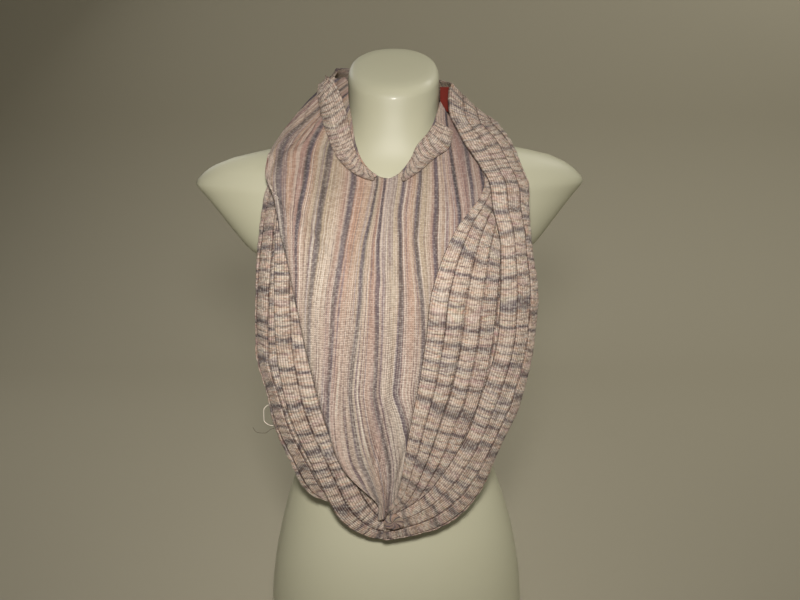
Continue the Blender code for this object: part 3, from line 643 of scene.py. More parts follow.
def settle(grid, offset, folds, thickness, beneath):
    # Moves a grid to where its solid lies, folds it, and lifts it clear of what lies beneath
    points, directions, flat = grid
    offset = blur(offset, 6, 5)
    for row, is_flat in zip(offset, flat):
        edge = np.nonzero(is_flat)[0][-1]
        row[edge:] = row[edge]
    points = points * MM + np.array(shift) + directions * (offset + folds * MM)[..., None]
    points = clear_of(points, directions, flat, thickness, beneath)
    return points, surface_normals(points, directions)


def rim_share(shape):
    # 0 along the rim of a grid of points and 1 inside, in two steps
    inside = np.zeros(shape)
    inside[1:-1, 1:-1] = 0.75
    inside[2:-2, 2:-2] = 1
    return inside


def make_mesh(name, points, faces, material, maps=None):
    mesh = bpy.data.meshes.new(name)
    mesh.from_pydata([tuple(p) for p in points], [], faces)
    mesh.materials.append(material)
    for label, values in (maps or {}).items():
        layer = mesh.uv_layers.new(name=label)
        corners = np.zeros(len(mesh.loops), dtype=np.int32)
        mesh.loops.foreach_get("vertex_index", corners)
        layer.data.foreach_set("uv", np.asarray(values, dtype=np.float32)[corners].ravel())
    mesh.update()
    mesh.shade_smooth()
    return add_object(name, mesh)


def add_object(name, data):
    obj = bpy.data.objects.new(name, data)
    bpy.context.scene.collection.objects.link(obj)
    return obj


def face_outward(obj):
    bm = bmesh.new()
    bm.from_mesh(obj.data)
    if bm.calc_volume(signed=True) < 0:
        bmesh.ops.reverse_faces(bm, faces=bm.faces[:])
        bm.to_mesh(obj.data)
    bm.free()
    return obj


def shell(name, outside, inside, material, maps):
    # A closed thin shell between two grids of points
    rows, columns = outside.shape[:2]
    below = rows * columns
    at = np.arange(below).reshape(rows, columns)
    a, b, c, d = at[:-1, :-1], at[:-1, 1:], at[1:, 1:], at[1:, :-1]
    faces = np.stack([a, b, c, d], axis=-1).reshape(-1, 4)
    under = np.stack([a, d, c, b], axis=-1).reshape(-1, 4) + below
    rim = np.concatenate([at[0], at[1:, -1], at[-1, -2::-1], at[-2:0:-1, 0]])
    after = np.roll(rim, -1)
    edge = np.stack([rim, rim + below, after + below, after], axis=-1)
    points = np.concatenate([outside.reshape(-1, 3), inside.reshape(-1, 3)])
    maps = {label: np.concatenate([values.reshape(-1, 2)] * 2) for label, values in maps.items()}
    obj = make_mesh(name, points, np.concatenate([faces, under, edge]).tolist(), material, maps)
    return face_outward(obj)


def cloth_shell(name, points, normals, cloth, rise, highest, rim, material, wide, down, places, band):
    # A stretch's wall, thinner at its own edge. One map has the cloth's metres across and down, the
    # other its place among the ribs or stripes and among the bars.
    inside = points - normals * (cloth + highest)
    share = rim_share(points.shape[:2])
    height = (cloth + rise) * (rim + (1 - rim) * share)
    outside = inside + normals * height[..., None]
    inside = inside + normals * ((1 - share) * INNER_RIM * cloth)[..., None]
    maps = {
        "cloth": np.stack(np.broadcast_arrays(wide[None, :], down), axis=-1),
        "knit": np.stack(np.broadcast_arrays(places, band), axis=-1),
    }
    return shell(name + "_knit", outside, inside, material, maps)


def rib_profile(within):
    # The height of a rib across its width, 0 in the grooves and 1 on its flat top
    side = np.clip(np.minimum(within, 1 - within) / RIB_SIDE, 0, 1)
    return (1 - (1 - side) ** 2.2) * (0.94 + 0.06 * np.sin(math.pi * within))


def bar_places(name, points, along, metres, ribs, seed):
    # The place of each point among the bars that cross the ribs, each rib a little off the next
    dice = np.random.default_rng(seed)
    stagger = np.repeat(dice.uniform(-BAR_STAGGER, BAR_STAGGER, ribs + 1), len(RIB_COLUMNS))
    pitch = BAND_PITCH * MM * np.interp(along, *TIGHTENED.get(name, ((0, 1), (1, 1))))
    band = np.cumsum(np.gradient(metres) / pitch) + 0.3 * uneven(metres, seed + 1, 0.085) + dice.uniform(0, 9)
    middle = points.mean(axis=1, keepdims=True)
    ahead = unit(np.gradient(middle, axis=0))
    slant = np.sum((points - middle) * ahead, axis=-1)
    return band[:, None] + stagger[None, :points.shape[1]] + slant / pitch[:, None]


def roll_band(name, points, along, columns, puff):
    # Draws a neck band together towards its front end, and makes its ribs into one string of beads
    taper = np.clip(along / BEADED[name], 0, 1)[:, None] ** 0.6
    middle = points.mean(axis=1, keepdims=True)
    points = middle + (points - middle) * (BAND_TIP + (1 - BAND_TIP) * taper)[..., None]
    dome = np.sin(math.pi * (0.06 + 0.88 * columns))[None, :] ** 0.7
    rise = (dome * BEAD_RISE * (1.35 * puff - 0.35) - BEAD_SINK) * (0.4 + 0.6 * taper)
    return points, rise


def table_span(name):
    # The part of its table that a stretch uses, a hair short of its neighbour's
    if name not in LOOP_STRETCHES:
        return 0, 1
    first, last = LOOP_STRETCHES[name]
    ends = len(LOOP) - 1
    return (first + END_GAP) / ends, (last - END_GAP) / ends


def ribbed_stretch(name, rows, ribs, beneath, seed, material):
    span = table_span(name)
    coarse = np.linspace(*span, CHECK_ROWS)
    middles = np.concatenate([[0.02], (np.arange(ribs) + 0.5) / ribs, [0.98]])
    offsets = solid_offsets(name, ribbed_layout, rows, coarse, middles)
    offsets[:, 0], offsets[:, -1] = offsets[:, 1], offsets[:, -2]
    stations = row_stations(ribbed_layout, rows, span, [0.5])
    columns = np.array([(rib + part) / ribs for rib in range(ribs) for part in RIB_COLUMNS] + [1.0])
    grid = ribbed_layout(rows, stations, columns)
    along = (stations - span[0]) / (span[1] - span[0])
    metres = length_along(grid[0] * MM)
    ease = np.clip(np.minimum(along, 1 - along) / END_EASE, 0, 1)[:, None]
    waver = WAVER * uneven(metres[:, None] + columns[None, :] * 0.03, seed, 0.055)
    folds = crease_rise(name, along[:, None], columns[None, :]) * ease + waver * ease
    offset = between(offsets, coarse, middles, stations, columns)
    points, normals = settle(grid, offset, folds, RIB_CLOTH + RIB_RISE, beneath)

    band = bar_places(name, points, along, metres, ribs, seed)
    puff = 1 - PUFF * (1 - np.abs(np.sin(2 * math.pi * band)) ** 0.6)
    within = np.append(np.tile(RIB_COLUMNS, ribs), 0.0)
    rise = rib_profile(within)[None, :] * puff * RIB_RISE
    places = columns * ribs
    if name in BEADED:
        places = 0.12 + columns * 0.76
        band = 2 * (band + BEAD_BOW * np.sin(math.pi * columns)[None, :])
        points, rise = roll_band(name, points, along, columns, puff)
    return cloth_shell(name, points, normals, RIB_CLOTH, rise, RIB_RISE, RIBBED_RIM, material,
                       columns * ribs * RIB_PITCH * MM, metres[:, None], places[None, :], band)


def down_from(points, level):
    # The distance down each column from where it crosses a level, so that stitches lie level
    steps = np.linalg.norm(np.diff(points, axis=0, prepend=points[:1]), axis=-1)
    run = np.cumsum(steps, axis=0)
    start = [np.interp(-level, -points[:, j, 2], run[:, j]) for j in range(points.shape[1])]
    return run - np.array(start)[None, :]


PLAIN_WIDTH = {"plain_front": 0.30, "plain_back": 0.075}     # metres across, for the knit's own scale


def plain_stretch(name, rows, beneath, seed, material):
    # A plain stretch, whose stripes follow the photograph in front and spread evenly elsewhere
    layout = plain_layout if name == "plain_front" else ribbed_layout
    coarse = np.linspace(0, 1, CHECK_ROWS)
    checked = np.linspace(0.01, 0.95, 22)
    offsets = solid_offsets(name, layout, rows, coarse, checked)
    stations = row_stations(layout, rows, (0, 1), [0.2, 0.8])
    across = np.linalg.norm(np.diff(layout(rows, coarse[:4], np.linspace(0, 1, 40))[0], axis=1), axis=-1)
    columns = np.linspace(0, 1, int(across.sum(axis=1).max() / COLUMN_STEP))
    grid = layout(rows, stations, columns)
    metres = length_along(grid[0] * MM)
    waver = WAVER * uneven(columns[None, :] * 0.3 + metres[:, None] * 0.1, seed, 0.05)
    waver = waver * np.clip(metres / TOP_EASE, 0, 1)[:, None]
    folds = crease_rise(name, stations[:, None], columns[None, :]) + waver
    offset = between(offsets, coarse, checked, stations, columns)
    points, normals = settle(grid, offset, folds, PLAIN_CLOTH, beneath)
    if name == "plain_front":
        places = blur(stripe_places(points), 3, 1)
    else:
        places = 1 + 6 * columns[None, :] + 0.3 * uneven(metres[:, None] + columns[None, :], seed, 0.08)
    down = down_from(points, points[:, :, 2].mean())
    return cloth_shell(name, points, normals, PLAIN_CLOTH, 0, 0, PLAIN_RIM, material,
                       columns * PLAIN_WIDTH[name], down, places, stations[:, None])


def form_ring(height, sides, size=1.0):
    half_width, front, back = (float(v) for v in by_height(TRUNK, height))
    half_span, half_depth = (float(v) for v in by_height(YOKE, height))
    has_yoke = YOKE[0][0] <= height <= YOKE[-1][0]
    lean, sway, closer = (float(np.interp(height, *zip(*table))) for table in (LEAN, SWAY, SIDE_SHARE))
    slope = math.tan(math.radians(CAP_TILT * lean))
    turned = math.radians(YOKE_TURN) * (closer - 1) / (SIDE_SHARE[1][1] - 1)
    step = 2 * math.pi * np.arange(sides) / sides
    angle = np.arctan2(np.sin(step) * closer, np.cos(step)) + turned
    across, ahead = np.sin(angle), np.cos(angle)
    depth = np.where(ahead > 0, front, back)
    power = TRUNK_POWER
    reach = (np.abs(across / half_width) ** power + np.abs(ahead / depth) ** power) ** (-1 / power)
    if has_yoke:
        cap = 1 / np.hypot(np.sin(angle - turned) / half_span, np.cos(angle - turned) / half_depth)
        reach = (reach ** YOKE_BLEND + cap ** YOKE_BLEND) ** (1 / YOKE_BLEND)
    y = -reach * ahead * size
    return np.stack([(reach * across * size + sway) * MM, y * MM, (height + slope * y) * MM], axis=-1)


def tube_faces(rings, sides):
    # The faces of a closed tube through rings of points, with its two ends
    here = np.arange(rings * sides).reshape(rings, sides)
    there = np.roll(here, -1, axis=1)
    faces = np.stack([here[:-1], there[:-1], there[1:], here[1:]], axis=-1).reshape(-1, 4).tolist()
    return faces + [here[0, ::-1].tolist(), here[-1].tolist()]


def make_form(material):
    rings = []
    for low, high in zip(FORM_HEIGHTS, FORM_HEIGHTS[1:]):
        steps = max(1, round((high - low) / RING_STEP))
        rings += [form_ring(low + (high - low) * k / steps, FORM_SIDES) for k in range(steps)]
    rings.append(form_ring(FORM_HEIGHTS[-1], FORM_SIDES))
    rings += [form_ring(height, FORM_SIDES, size) for height, size in CAP_EDGE]
    points = np.concatenate(rings) + np.array(shift)
    faces = tube_faces(len(rings), FORM_SIDES)
    return face_outward(make_mesh("form_body", points, faces, material))


# Materials

def linear(red, green, blue):
    # A colour given as it looks on a screen, from 0 to 255
    parts = [channel / 255 for channel in (red, green, blue)]
    return tuple(p / 12.92 if p <= 0.04045 else ((p + 0.055) / 1.055) ** 2.4 for p in parts) + (1.0,)


CREAM = linear(224, 208, 190)
SAND = linear(204, 180, 156)
BLUSH = linear(208, 176, 162)
FAWN = linear(176, 154, 146)
PEACH = linear(212, 170, 144)
ROSE = linear(190, 152, 144)
LEAF = linear(206, 190, 160)
MAUVE = linear(142, 124, 128)
TAUPE = linear(124, 102, 100)
SLATE = linear(92, 84, 96)
CHAR = linear(66, 58, 62)
BROWN = linear(64, 42, 36)
MIST = linear(210, 190, 178)
OCHRE = linear(142, 106, 76)
PALE = linear(240, 228, 212)
IVORY = linear(205, 202, 174)
RUST = linear(150, 38, 14)
IVORY_SHADE = linear(198, 194, 160)
RUST_SHADE = linear(92, 24, 12)

# Tones between the dark stripes, over the places from TONES_FIRST on the right to the left edge
TONES_FIRST, TONES_PLACES = -4, 14
STRIPE_TONES = (
    (0.00, FAWN), (0.05, ROSE), (0.09, SAND), (0.14, ROSE), (0.18, BLUSH), (0.22, MAUVE),
    (0.25, ROSE), (0.30, BLUSH), (0.335, SAND), (0.36, ROSE), (0.40, LEAF), (0.44, SAND),
    (0.465, PEACH), (0.49, BLUSH), (0.52, LEAF), (0.55, CREAM), (0.575, ROSE), (0.60, PEACH),
    (0.635, LEAF), (0.66, SAND), (0.69, PEACH), (0.72, ROSE), (0.745, SAND), (0.775, LEAF),
    (0.81, LEAF), (0.84, PEACH), (0.87, ROSE), (0.90, PEACH), (0.93, LEAF), (0.97, ROSE),
    (1.00, SAND),
)
RIB_TONES = (
    (0.00, ROSE), (0.14, BLUSH), (0.30, SAND), (0.40, PEACH), (0.48, SAND), (0.56, CREAM),
    (0.64, BLUSH), (0.72, PEACH), (0.80, LEAF), (0.90, CREAM), (1.00, FAWN),
)
STRIPE_HALF = (0.13, 0.115)     # half a dark stripe's width at the top and lower down, in places
STRIPE_DARK = 0.94              # how much of the yarn's dark shows in the darkest stripe
DEEP_FROM, DEEP_TO = 0.42, 0.26     # heights between which the painted shade in the ribs' hollows and grooves goes from its upper to its lower strength, in metres
COAT_FROM, COAT_TO = 0.660, 0.672   # heights between which the form's gloss begins, in metres
BUMP = 0.0009                   # metres that the stitches stand out


def math_node(kind):
    def method(self, *others):
        return self.finish.add("Math", dict(enumerate((self, *others))), operation=kind)
    return method


class Field:
    # A number or colour that a material works out at each point
    def __init__(self, finish, socket):
        self.finish, self.socket = finish, socket

    __add__ = __radd__ = math_node("ADD")
    __sub__ = math_node("SUBTRACT")
    __mul__ = __rmul__ = math_node("MULTIPLY")
    __truediv__ = math_node("DIVIDE")
    part = math_node("FRACT")
    floor = math_node("FLOOR")
    size = math_node("ABSOLUTE")
    sine = math_node("SINE")
    least = math_node("MINIMUM")
    most = math_node("MAXIMUM")

    def __rsub__(self, other):
        return self.finish.add("Math", {0: other, 1: self}, operation="SUBTRACT")

    def ramp(self, start, end, low=0.0, high=1.0):
        # Goes softly from low to high as the number goes from start to end
        inputs = {"Value": self, "From Min": start, "From Max": end, "To Min": low, "To Max": high}
        return self.finish.add("MapRange", inputs, interpolation_type="SMOOTHSTEP")


class Finish:
    # A material being made: one method adds any node by its type, settings and inputs
    def __init__(self, name, roughness):
        self.material = bpy.data.materials.new(name)
        self.material.use_nodes = True
        self.tree = self.material.node_tree
        self.shader = self.tree.nodes["Principled BSDF"]
        self.shader.inputs["Roughness"].default_value = roughness

    def add(self, kind, inputs=None, output=0, **settings):
        node = self.tree.nodes.new("ShaderNode" + kind)
        for name, value in settings.items():
            setattr(node, name, value)
        for key, value in (inputs or {}).items():
            self.put(node.inputs[key], value)
        return Field(self, node.outputs[output])

    def put(self, socket, value):
        if isinstance(value, Field):
            self.tree.links.new(value.socket, socket)
        else:
            socket.default_value = value

    def mix(self, share, first, second):
        return self.add("Mix", {0: share, 6: first, 7: second}, output=2, data_type="RGBA", blend_type="MIX")

    def parts(self, place):
        # A place's first, second and third numbers
        first = self.add("SeparateXYZ", {0: place})
        return [first] + [Field(self, first.socket.node.outputs[k]) for k in (1, 2)]

    def join(self, x, y, z=0.0):
        return self.add("CombineXYZ", {0: x, 1: y, 2: z})

    def dice(self, *place):
        # A number from 0 to 1 picked anew in each whole place
        return self.add("TexWhiteNoise", {"Vector": self.join(*place)}, output="Value")

    def cloud(self, place, scale, detail=2.0):
        return self.add("TexNoise", {"Vector": place, "Scale": scale, "Detail": detail})

    def noise(self, x, y, detail=2.0):
        return self.cloud(self.join(x, y), 1.0, detail)

    def stripes(self, share, stops):
        # Colours along a share from 0 to 1
        field = self.add("ValToRGB", {0: share})
        elements = field.socket.node.color_ramp.elements
        while len(elements) < len(stops):
            elements.new(0.5)
        for element, (place, colour) in zip(elements, stops):
            element.position = place
            element.color = colour
        return field

    def done(self, colour, height=None, distance=0.001, strength=1.0):
        self.put(self.shader.inputs["Base Color"], colour)
        if height is not None:
            bump = self.add("Bump", {"Height": height, "Strength": strength, "Distance": distance})
            self.put(self.shader.inputs["Normal"], bump)
        return self.material


def shade_stitches(finish, colour, wale, course, contrast):
    # Columns of small V-shaped stitches, some lighter or darker, with painted shade in the lines between
    # columns and a painted highlight down the middle of each column
    column = wale / WALE_PITCH
    off = (column.part() - 0.5).size()
    row = course / COURSE_PITCH + off * 0.4
    height = (1 - (row.part() - 0.5).size() * 2) * 0.45 + (0.5 - off) * 1.3
    own = finish.dice(column.floor(), row.floor())
    colour = finish.mix(own.ramp(0.45, 1.0) * 0.34 * contrast, colour, PALE)
    colour = finish.mix(own.ramp(0.50, 0.0) * 0.36 * contrast, colour, BROWN)
    # Painted shade in the lines between columns, then a painted highlight down each column's middle
    colour = finish.mix(off.ramp(0.24, 0.48) * 0.40 * contrast, colour, BROWN)
    colour = finish.mix(off.ramp(0.20, 0.0) * 0.24 * contrast, colour, PALE)
    return colour, height


def plain_knit():
    # Stripes that run down the plain half, as the space-dyed yarn made them. The level is 0 at the
    # neck edge and 1 at the point, and the stripes are sharper and the stitches softer above.
    finish = Finish("plain_knit", 0.93)
    across, along, _ = finish.parts(finish.add("UVMap", uv_map="cloth"))
    stripe, level, _ = finish.parts(finish.add("UVMap", uv_map="knit"))
    drift = finish.noise(across * 30, along * 12) - 0.5
    way = stripe + drift * 0.14
    tone = finish.stripes((way - TONES_FIRST) / TONES_PLACES, STRIPE_TONES)
    tone = finish.mix(level.ramp(0.25, 0.55, 0.1, 0.55), tone, MIST)
    # Painted shade: the tones darken towards the neck edge
    tone = finish.mix(level.ramp(0.85, 0.30, 0.0, 0.31), tone, OCHRE)
    near = ((way + 0.5).part() - 0.5).size()
    strength = finish.dice((way + 0.5).floor(), 2.3).ramp(0, 1, 0.85, 1.0)
    dark = (near / level.ramp(0.1, 0.6, *STRIPE_HALF)).ramp(1.35, 0.45) * strength

    thin = finish.noise(way * 6, along * 3, 3.0)
    fine = finish.noise(way * 20, along * 5)
    colour = finish.mix(thin.ramp(0.54, 0.61) * level.ramp(0.15, 0.5, 0.55, 0.85), tone, MAUVE)
    colour = finish.mix(thin.ramp(0.45, 0.38) * level.ramp(0.15, 0.5, 0.45, 0.7), colour, CREAM)
    colour = finish.mix(fine.ramp(0.55, 0.63) * level.ramp(0.15, 0.5, 0.5, 0.75), colour, TAUPE)
    colour = finish.mix(fine.ramp(0.44, 0.37) * level.ramp(0.15, 0.5, 0.35, 0.8), colour, PALE)
    slate = finish.mix(finish.noise(way * 4, along * 9).ramp(0.4, 0.6), CHAR, SLATE)
    patchy = finish.noise(way * 3, along * 14).ramp(0.25, 0.5, 0.70, 1.0)
    fade = level.ramp(0.3, 0.55, 1.0, 0.78)
    colour = finish.mix(dark * patchy * fade * STRIPE_DARK, colour, slate)
    contrast = level.ramp(0.25, 0.6, 0.45, 0.75)
    colour, height = shade_stitches(finish, colour, along * 1.2, way * (COURSES * COURSE_PITCH), contrast)
    return finish.done(colour, height, BUMP, 0.8)


def ribbed_knit(name, depth, depth_above=1.0, bars=1.0):
    # Puffed blocks in thin layers of colour, between soft dark bars that cross the ribs, with painted shade
    # in the hollows and grooves and a painted highlight on the middle of each block. Depth is how dark the
    # painted shade in the hollows and grooves is, below and above, and bars how dark the bars are.
    finish = Finish(name, 0.93)
    across, along, _ = finish.parts(finish.add("UVMap", uv_map="cloth"))
    ribs, band, _ = finish.parts(finish.add("UVMap", uv_map="knit"))
    band = band + (finish.noise(across * 60, along * 30) - 0.5) * 0.12
    rib, within = ribs.floor(), ribs.part()
    edge = within.least(1 - within)
    band = band + edge.ramp(0.0, 0.4) * 0.03
    block, place = (band * 2).floor(), (band * 2).part()
    pair = ((rib + finish.dice(block, 3.7) * 2) / 2).floor()
    own = finish.dice(block, rib, 1.3)
    shared = finish.dice((band + 0.25).floor(), pair, 5.1)

    layer = finish.noise(ribs * 0.45, band * 3.4) + (own - 0.5) * 0.16
    tone = finish.stripes(layer.ramp(0.26, 0.74), RIB_TONES)
    streak = finish.noise(across * 50, along * 520, 3.0)
    colour = finish.mix(streak.ramp(0.50, 0.64) * 0.55, tone, CREAM)
    colour = finish.mix(streak.ramp(0.46, 0.32) * 0.55, colour, TAUPE)

    whole = (band.part() - 0.5).size()
    soft = finish.noise(across * 110, along * 110) - 0.5
    bar = (whole + soft * 0.12).ramp(0.33, 0.44) * shared.ramp(0.0, 0.4, 0.55, 1.0)
    twin = (whole - 0.31 + soft * 0.08).size().ramp(0.045, 0.01) * shared.ramp(0.35, 0.6)
    weak = (place - 0.5 + soft * 0.2).size().ramp(0.36, 0.48) * own.ramp(0.25, 0.9, 0.10, 0.75)
    dark = bar.most(twin * 0.6).most(weak)
    single = finish.dice((across / WALE_PITCH).floor(), (along / COURSE_PITCH).floor())
    dark = dark * single.ramp(0.0, 0.35, 0.45, 1.0) * (0.78 + 0.06 * depth) * bars
    colour = finish.mix(dark, colour, finish.mix(own, CHAR, SLATE))

    # Painted shade in the hollows along the rib edges and at the pinches between blocks, stronger where depth
    # is higher
    _, _, up = finish.parts(finish.add("TexCoord", output="Object"))
    deep = up.ramp(DEEP_FROM, DEEP_TO, depth_above, depth)
    hollow = edge.ramp(0.18, 0.04).most((place - 0.5).size().ramp(0.30, 0.5))
    colour = finish.mix(hollow * deep * 0.22, colour, BROWN)
    # Painted highlight on the raised middle of each block, away from the hollows
    colour = finish.mix((1 - hollow) * edge.ramp(0.15, 0.4) * 0.18, colour, PALE)
    # Painted shade along the grooves between ribs, broken into patches by a noise
    groove_shade_patches = finish.noise(across * 40, along * 60).ramp(0.40, 0.62, 0.12 * depth - 0.07, 0.70)
    groove = edge.ramp(0.065, 0.015) * groove_shade_patches * deep
    colour = finish.mix(groove.least(0.9), colour, BROWN)
    colour, height = shade_stitches(finish, colour, across, along, 1.0)
    return finish.done(colour, height, BUMP, 0.8)


def form_plastic():
    # Ivory plastic, a little glossy on the neck
    finish = Finish("gloss_plastic", 0.48)
    place = finish.add("TexCoord", output="Object")
    cloud = finish.cloud(place, 6.0, 3.0)
    colour = finish.mix(cloud.ramp(0.3, 0.7) * 0.25, IVORY, IVORY_SHADE)
    _, _, up = finish.parts(place)
    finish.put(finish.shader.inputs["Coat Weight"], up.ramp(COAT_FROM, COAT_TO, 0.0, 0.08))
    finish.shader.inputs["Coat Roughness"].default_value = 0.13
    return finish.done(colour, cloud, 0.002, 0.05)


def label_cloth():
    # A fine weave, crossed every millimetre or so
    finish = Finish("label_cloth", 0.7)
    across, _, up = finish.parts(finish.add("TexCoord", output="Object"))
    weave = (up * 5200).sine() * (across * 6000).sine()
    colour = finish.mix(weave.ramp(-1, 1), RUST, RUST_SHADE)
    return finish.done(colour, weave, 0.0003, 0.5)


def even_finish(name, roughness, colour):
    return Finish(name, roughness).done(colour)


# Small pieces

LABEL_TURN = 12.0           # degrees
LABEL_SIZE = (13, 0.9, 25)  # width, thickness and height, in millimetres
LABEL_RAISED = 1.5          # millimetres above the solid's middle
LABEL_GRID = (24, 14)       # rows and columns of points


def make_label(material):
    # A small blank label, a little bowed
    low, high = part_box("neck_label")
    centre = (low + high) / 2
    turned = Matrix.Rotation(math.radians(LABEL_TURN), 3, "Z")
    width, thickness, tall = LABEL_SIZE
    rows, columns = LABEL_GRID
    outside, inside = [], []
    for i in range(rows):
        for j in range(columns):
            x, z = (j / (columns - 1) - 0.5) * width, (i / (rows - 1) - 0.5) * tall + LABEL_RAISED
            bow = 0.6 * math.sin(z * 0.22) + 0.02 * x * x
            for side, found in ((-thickness / 2, outside), (thickness / 2, inside)):
                found.append(centre + turned @ (Vector((x, bow + side, z)) * MM))
    outside, inside = (np.array(found).reshape(rows, columns, 3) for found in (outside, inside))
    grid = np.stack(np.meshgrid(np.linspace(0, 1, columns), np.linspace(0, 1, rows)), axis=-1)
    return shell("label_cloth_piece", outside, inside, material, {"cloth": grid * 0.02})


KNOT_MOVED = (-1, 0, 6)     # millimetres from the solid's middle
KNOT_WIDER, KNOT_TALLER = 1.2, 1.15     # against the solid
KNOT_BACK = 2.2             # how much deeper it reaches into the cloth behind it than the solid
KNOT_FRONT = 0.7            # and how much flatter it is in front
KNOT_FOLDS = 7
KNOT_DIMPLE = 0.22          # the dimple's radius, as a share of the lump's
KNOT_CLOTH = 0.012          # metres of cloth in a turn of one radian, and from the middle to the rim


def make_knot(material):
    # The puckered lump, with its folds drawn in towards a dimple at the middle
    low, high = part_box("bottom_knot")
    centre, half = (low + high) / 2 + Vector(KNOT_MOVED) * MM, (high - low) / 2
    bm = bmesh.new()
    bmesh.ops.create_icosphere(bm, subdivisions=5, radius=1.0)
    cloth, knit = [], []
    for vertex in bm.verts:
        x, y, z = vertex.co
        turn, reach = math.atan2(z, x), math.hypot(x, z)
        fold = math.cos(KNOT_FOLDS * turn + 4 * reach) * min(1, 2.5 * reach)
        pucker = 0.92 + 0.05 * math.cos(3 * turn + 1.0) + 0.03 * fold
        depth = 0.86 + 0.14 * fold - 0.5 * math.exp(-(reach / KNOT_DIMPLE) ** 2)
        side = x * pucker * half.x * KNOT_WIDER
        back = y * depth * half.y * (KNOT_BACK if y > 0 else KNOT_FRONT)
        vertex.co = centre + Vector((side, back, z * pucker * half.z * KNOT_TALLER))
        cloth.append((turn * KNOT_CLOTH, reach * KNOT_CLOTH))
        knit.append((turn * 1.1 + reach, 0.2))
    points = [tuple(v.co) for v in bm.verts]
    faces = [[v.index for v in f.verts] for f in bm.faces]
    bm.free()
    return face_outward(make_mesh("knot_gather", points, faces, material, {"cloth": cloth, "knit": knit}))


class Tree:
    # A geometry tree being made: one method adds any node by its type, settings and inputs
    def __init__(self, name, numbers):
        self.group = bpy.data.node_groups.new(name, "GeometryNodeTree")
        socket = self.group.interface.new_socket
        socket("Cloth", in_out="INPUT", socket_type="NodeSocketGeometry")
        socket("Fibres", in_out="OUTPUT", socket_type="NodeSocketGeometry")
        for label, kind, value in numbers:
            socket(label, in_out="INPUT", socket_type=kind).default_value = value
        self.start = self.group.nodes.new("NodeGroupInput")
        self.end = self.group.nodes.new("NodeGroupOutput")

    def add(self, kind, inputs, output=0, **settings):
        node = self.group.nodes.new(kind)
        for name, value in settings.items():
            setattr(node, name, value)
        for key, value in inputs.items():
            if hasattr(value, "links"):
                self.group.links.new(value, node.inputs[key])
            else:
                node.inputs[key].default_value = value
        return node.outputs[output]


def fuzz_tree(material):
    # Short stray fibres that stand off the cloth, three-sided and bent
    tree = Tree("fuzz", (("Count per m2", "NodeSocketFloat", 26000.0), ("Length", "NodeSocketFloat", 0.0038),
                         ("Thickness", "NodeSocketFloat", 0.00006), ("Seed", "NodeSocketInt", 5)))
    given = tree.start.outputs
    spots = tree.add("GeometryNodeDistributePointsOnFaces", {
        "Mesh": given["Cloth"], "Density": given["Count per m2"], "Seed": given["Seed"]}).node
    bend = tree.add("FunctionNodeRandomValue", {0: (-1.1, -1.1, -1.1), 1: (1.1, 1.1, 1.1), 8: 3},
                    data_type="FLOAT_VECTOR")
    lean = tree.add("ShaderNodeVectorMath", {0: spots.outputs["Normal"], 1: bend}, operation="ADD")
    turned = tree.add("FunctionNodeAlignRotationToVector", {2: lean}, axis="Z")
    arc = tree.add("GeometryNodeCurveQuadraticBezier", {
        "Resolution": 3, "Start": (0, 0, -0.12), "Middle": (0.35, 0, 0.55), "End": (0.05, 0.1, 1.0)})
    radius = tree.add("ShaderNodeMath", {0: given["Thickness"], 1: given["Length"]}, operation="DIVIDE")
    ring = tree.add("GeometryNodeCurvePrimitiveCircle", {"Resolution": 3, "Radius": radius})
    line = tree.add("GeometryNodeCurveToMesh", {0: arc, 1: ring})
    size = tree.add("FunctionNodeRandomValue", {2: 0.35, 3: 1.0, 8: 9}, output=1, data_type="FLOAT")
    size = tree.add("ShaderNodeMath", {0: size, 1: given["Length"]}, operation="MULTIPLY")
    fibres = tree.add("GeometryNodeInstanceOnPoints", {
        "Points": spots.outputs["Points"], "Instance": line, "Rotation": turned, "Scale": size})
    real = tree.add("GeometryNodeRealizeInstances", {0: fibres})
    done = tree.add("GeometryNodeSetMaterial", {"Geometry": real, "Material": material})
    tree.group.links.new(done, tree.end.inputs["Fibres"])
    return tree.group


def make_fuzz(name, cloth, group, density, seed):
    # The fibres of one stretch, as a mesh of their own
    bearer = add_object("bearer", cloth.data.copy())
    modifier = bearer.modifiers.new("fuzz", "NODES")
    modifier.node_group = group
    ids = {item.name: item.identifier for item in group.interface.items_tree}
    modifier[ids["Count per m2"]] = density
    modifier[ids["Seed"]] = seed
    bpy.context.view_layer.update()
    mesh = bpy.data.meshes.new_from_object(bearer.evaluated_get(bpy.context.evaluated_depsgraph_get()))
    bpy.data.objects.remove(bearer, do_unlink=True)
    return add_object(name, mesh)


# Loose ends of yarn at the left edge: a pale loop and a thin dark end, as x, y and z
PALE_THREAD = (
    (-108, -84, 352), (-115, -86, 346), (-123, -87, 346), (-130, -87, 352), (-130, -87, 362),
    (-124, -87, 368), (-117, -87, 368), (-110, -86, 362),
)
DARK_THREAD = ((-110, -80, 343), (-123, -84, 341), (-130, -85, 337), (-138, -85, 338), (-142, -85, 343))
THREAD_SIDES = 7


def make_thread(name, path, thickness, material):
    # A loose end of yarn through given points
    line = smooth_rows(path, np.linspace(0, 1, 12 * len(path))) * MM + np.array(shift)
    rings = []
    for point, way in zip(line, unit(np.gradient(line, axis=0))):
        first = unit(np.cross(way, (0.3, 0.2, 1.0)))
        second = np.cross(way, first)
        for side in range(THREAD_SIDES):
            angle = 2 * math.pi * side / THREAD_SIDES
            out = first * math.cos(angle) + second * math.sin(angle)
            rings.append(point + out * thickness * MM / 2)
    flat = np.zeros((len(rings), 2))
    flat[:, 1] = np.repeat(np.arange(len(line)), THREAD_SIDES) * 0.001
    faces = tube_faces(len(line), THREAD_SIDES)
    return face_outward(make_mesh(name, rings, faces, material, {"cloth": flat, "knit": flat}))


# The floor runs back and then up into the wall in a bend, in metres
FLOOR_FRONT, BEND_START, BEND_RADIUS, WALL_TOP, SWEEP_SIDE = -3.0, 1.2, 0.6, 3.4, 4.0


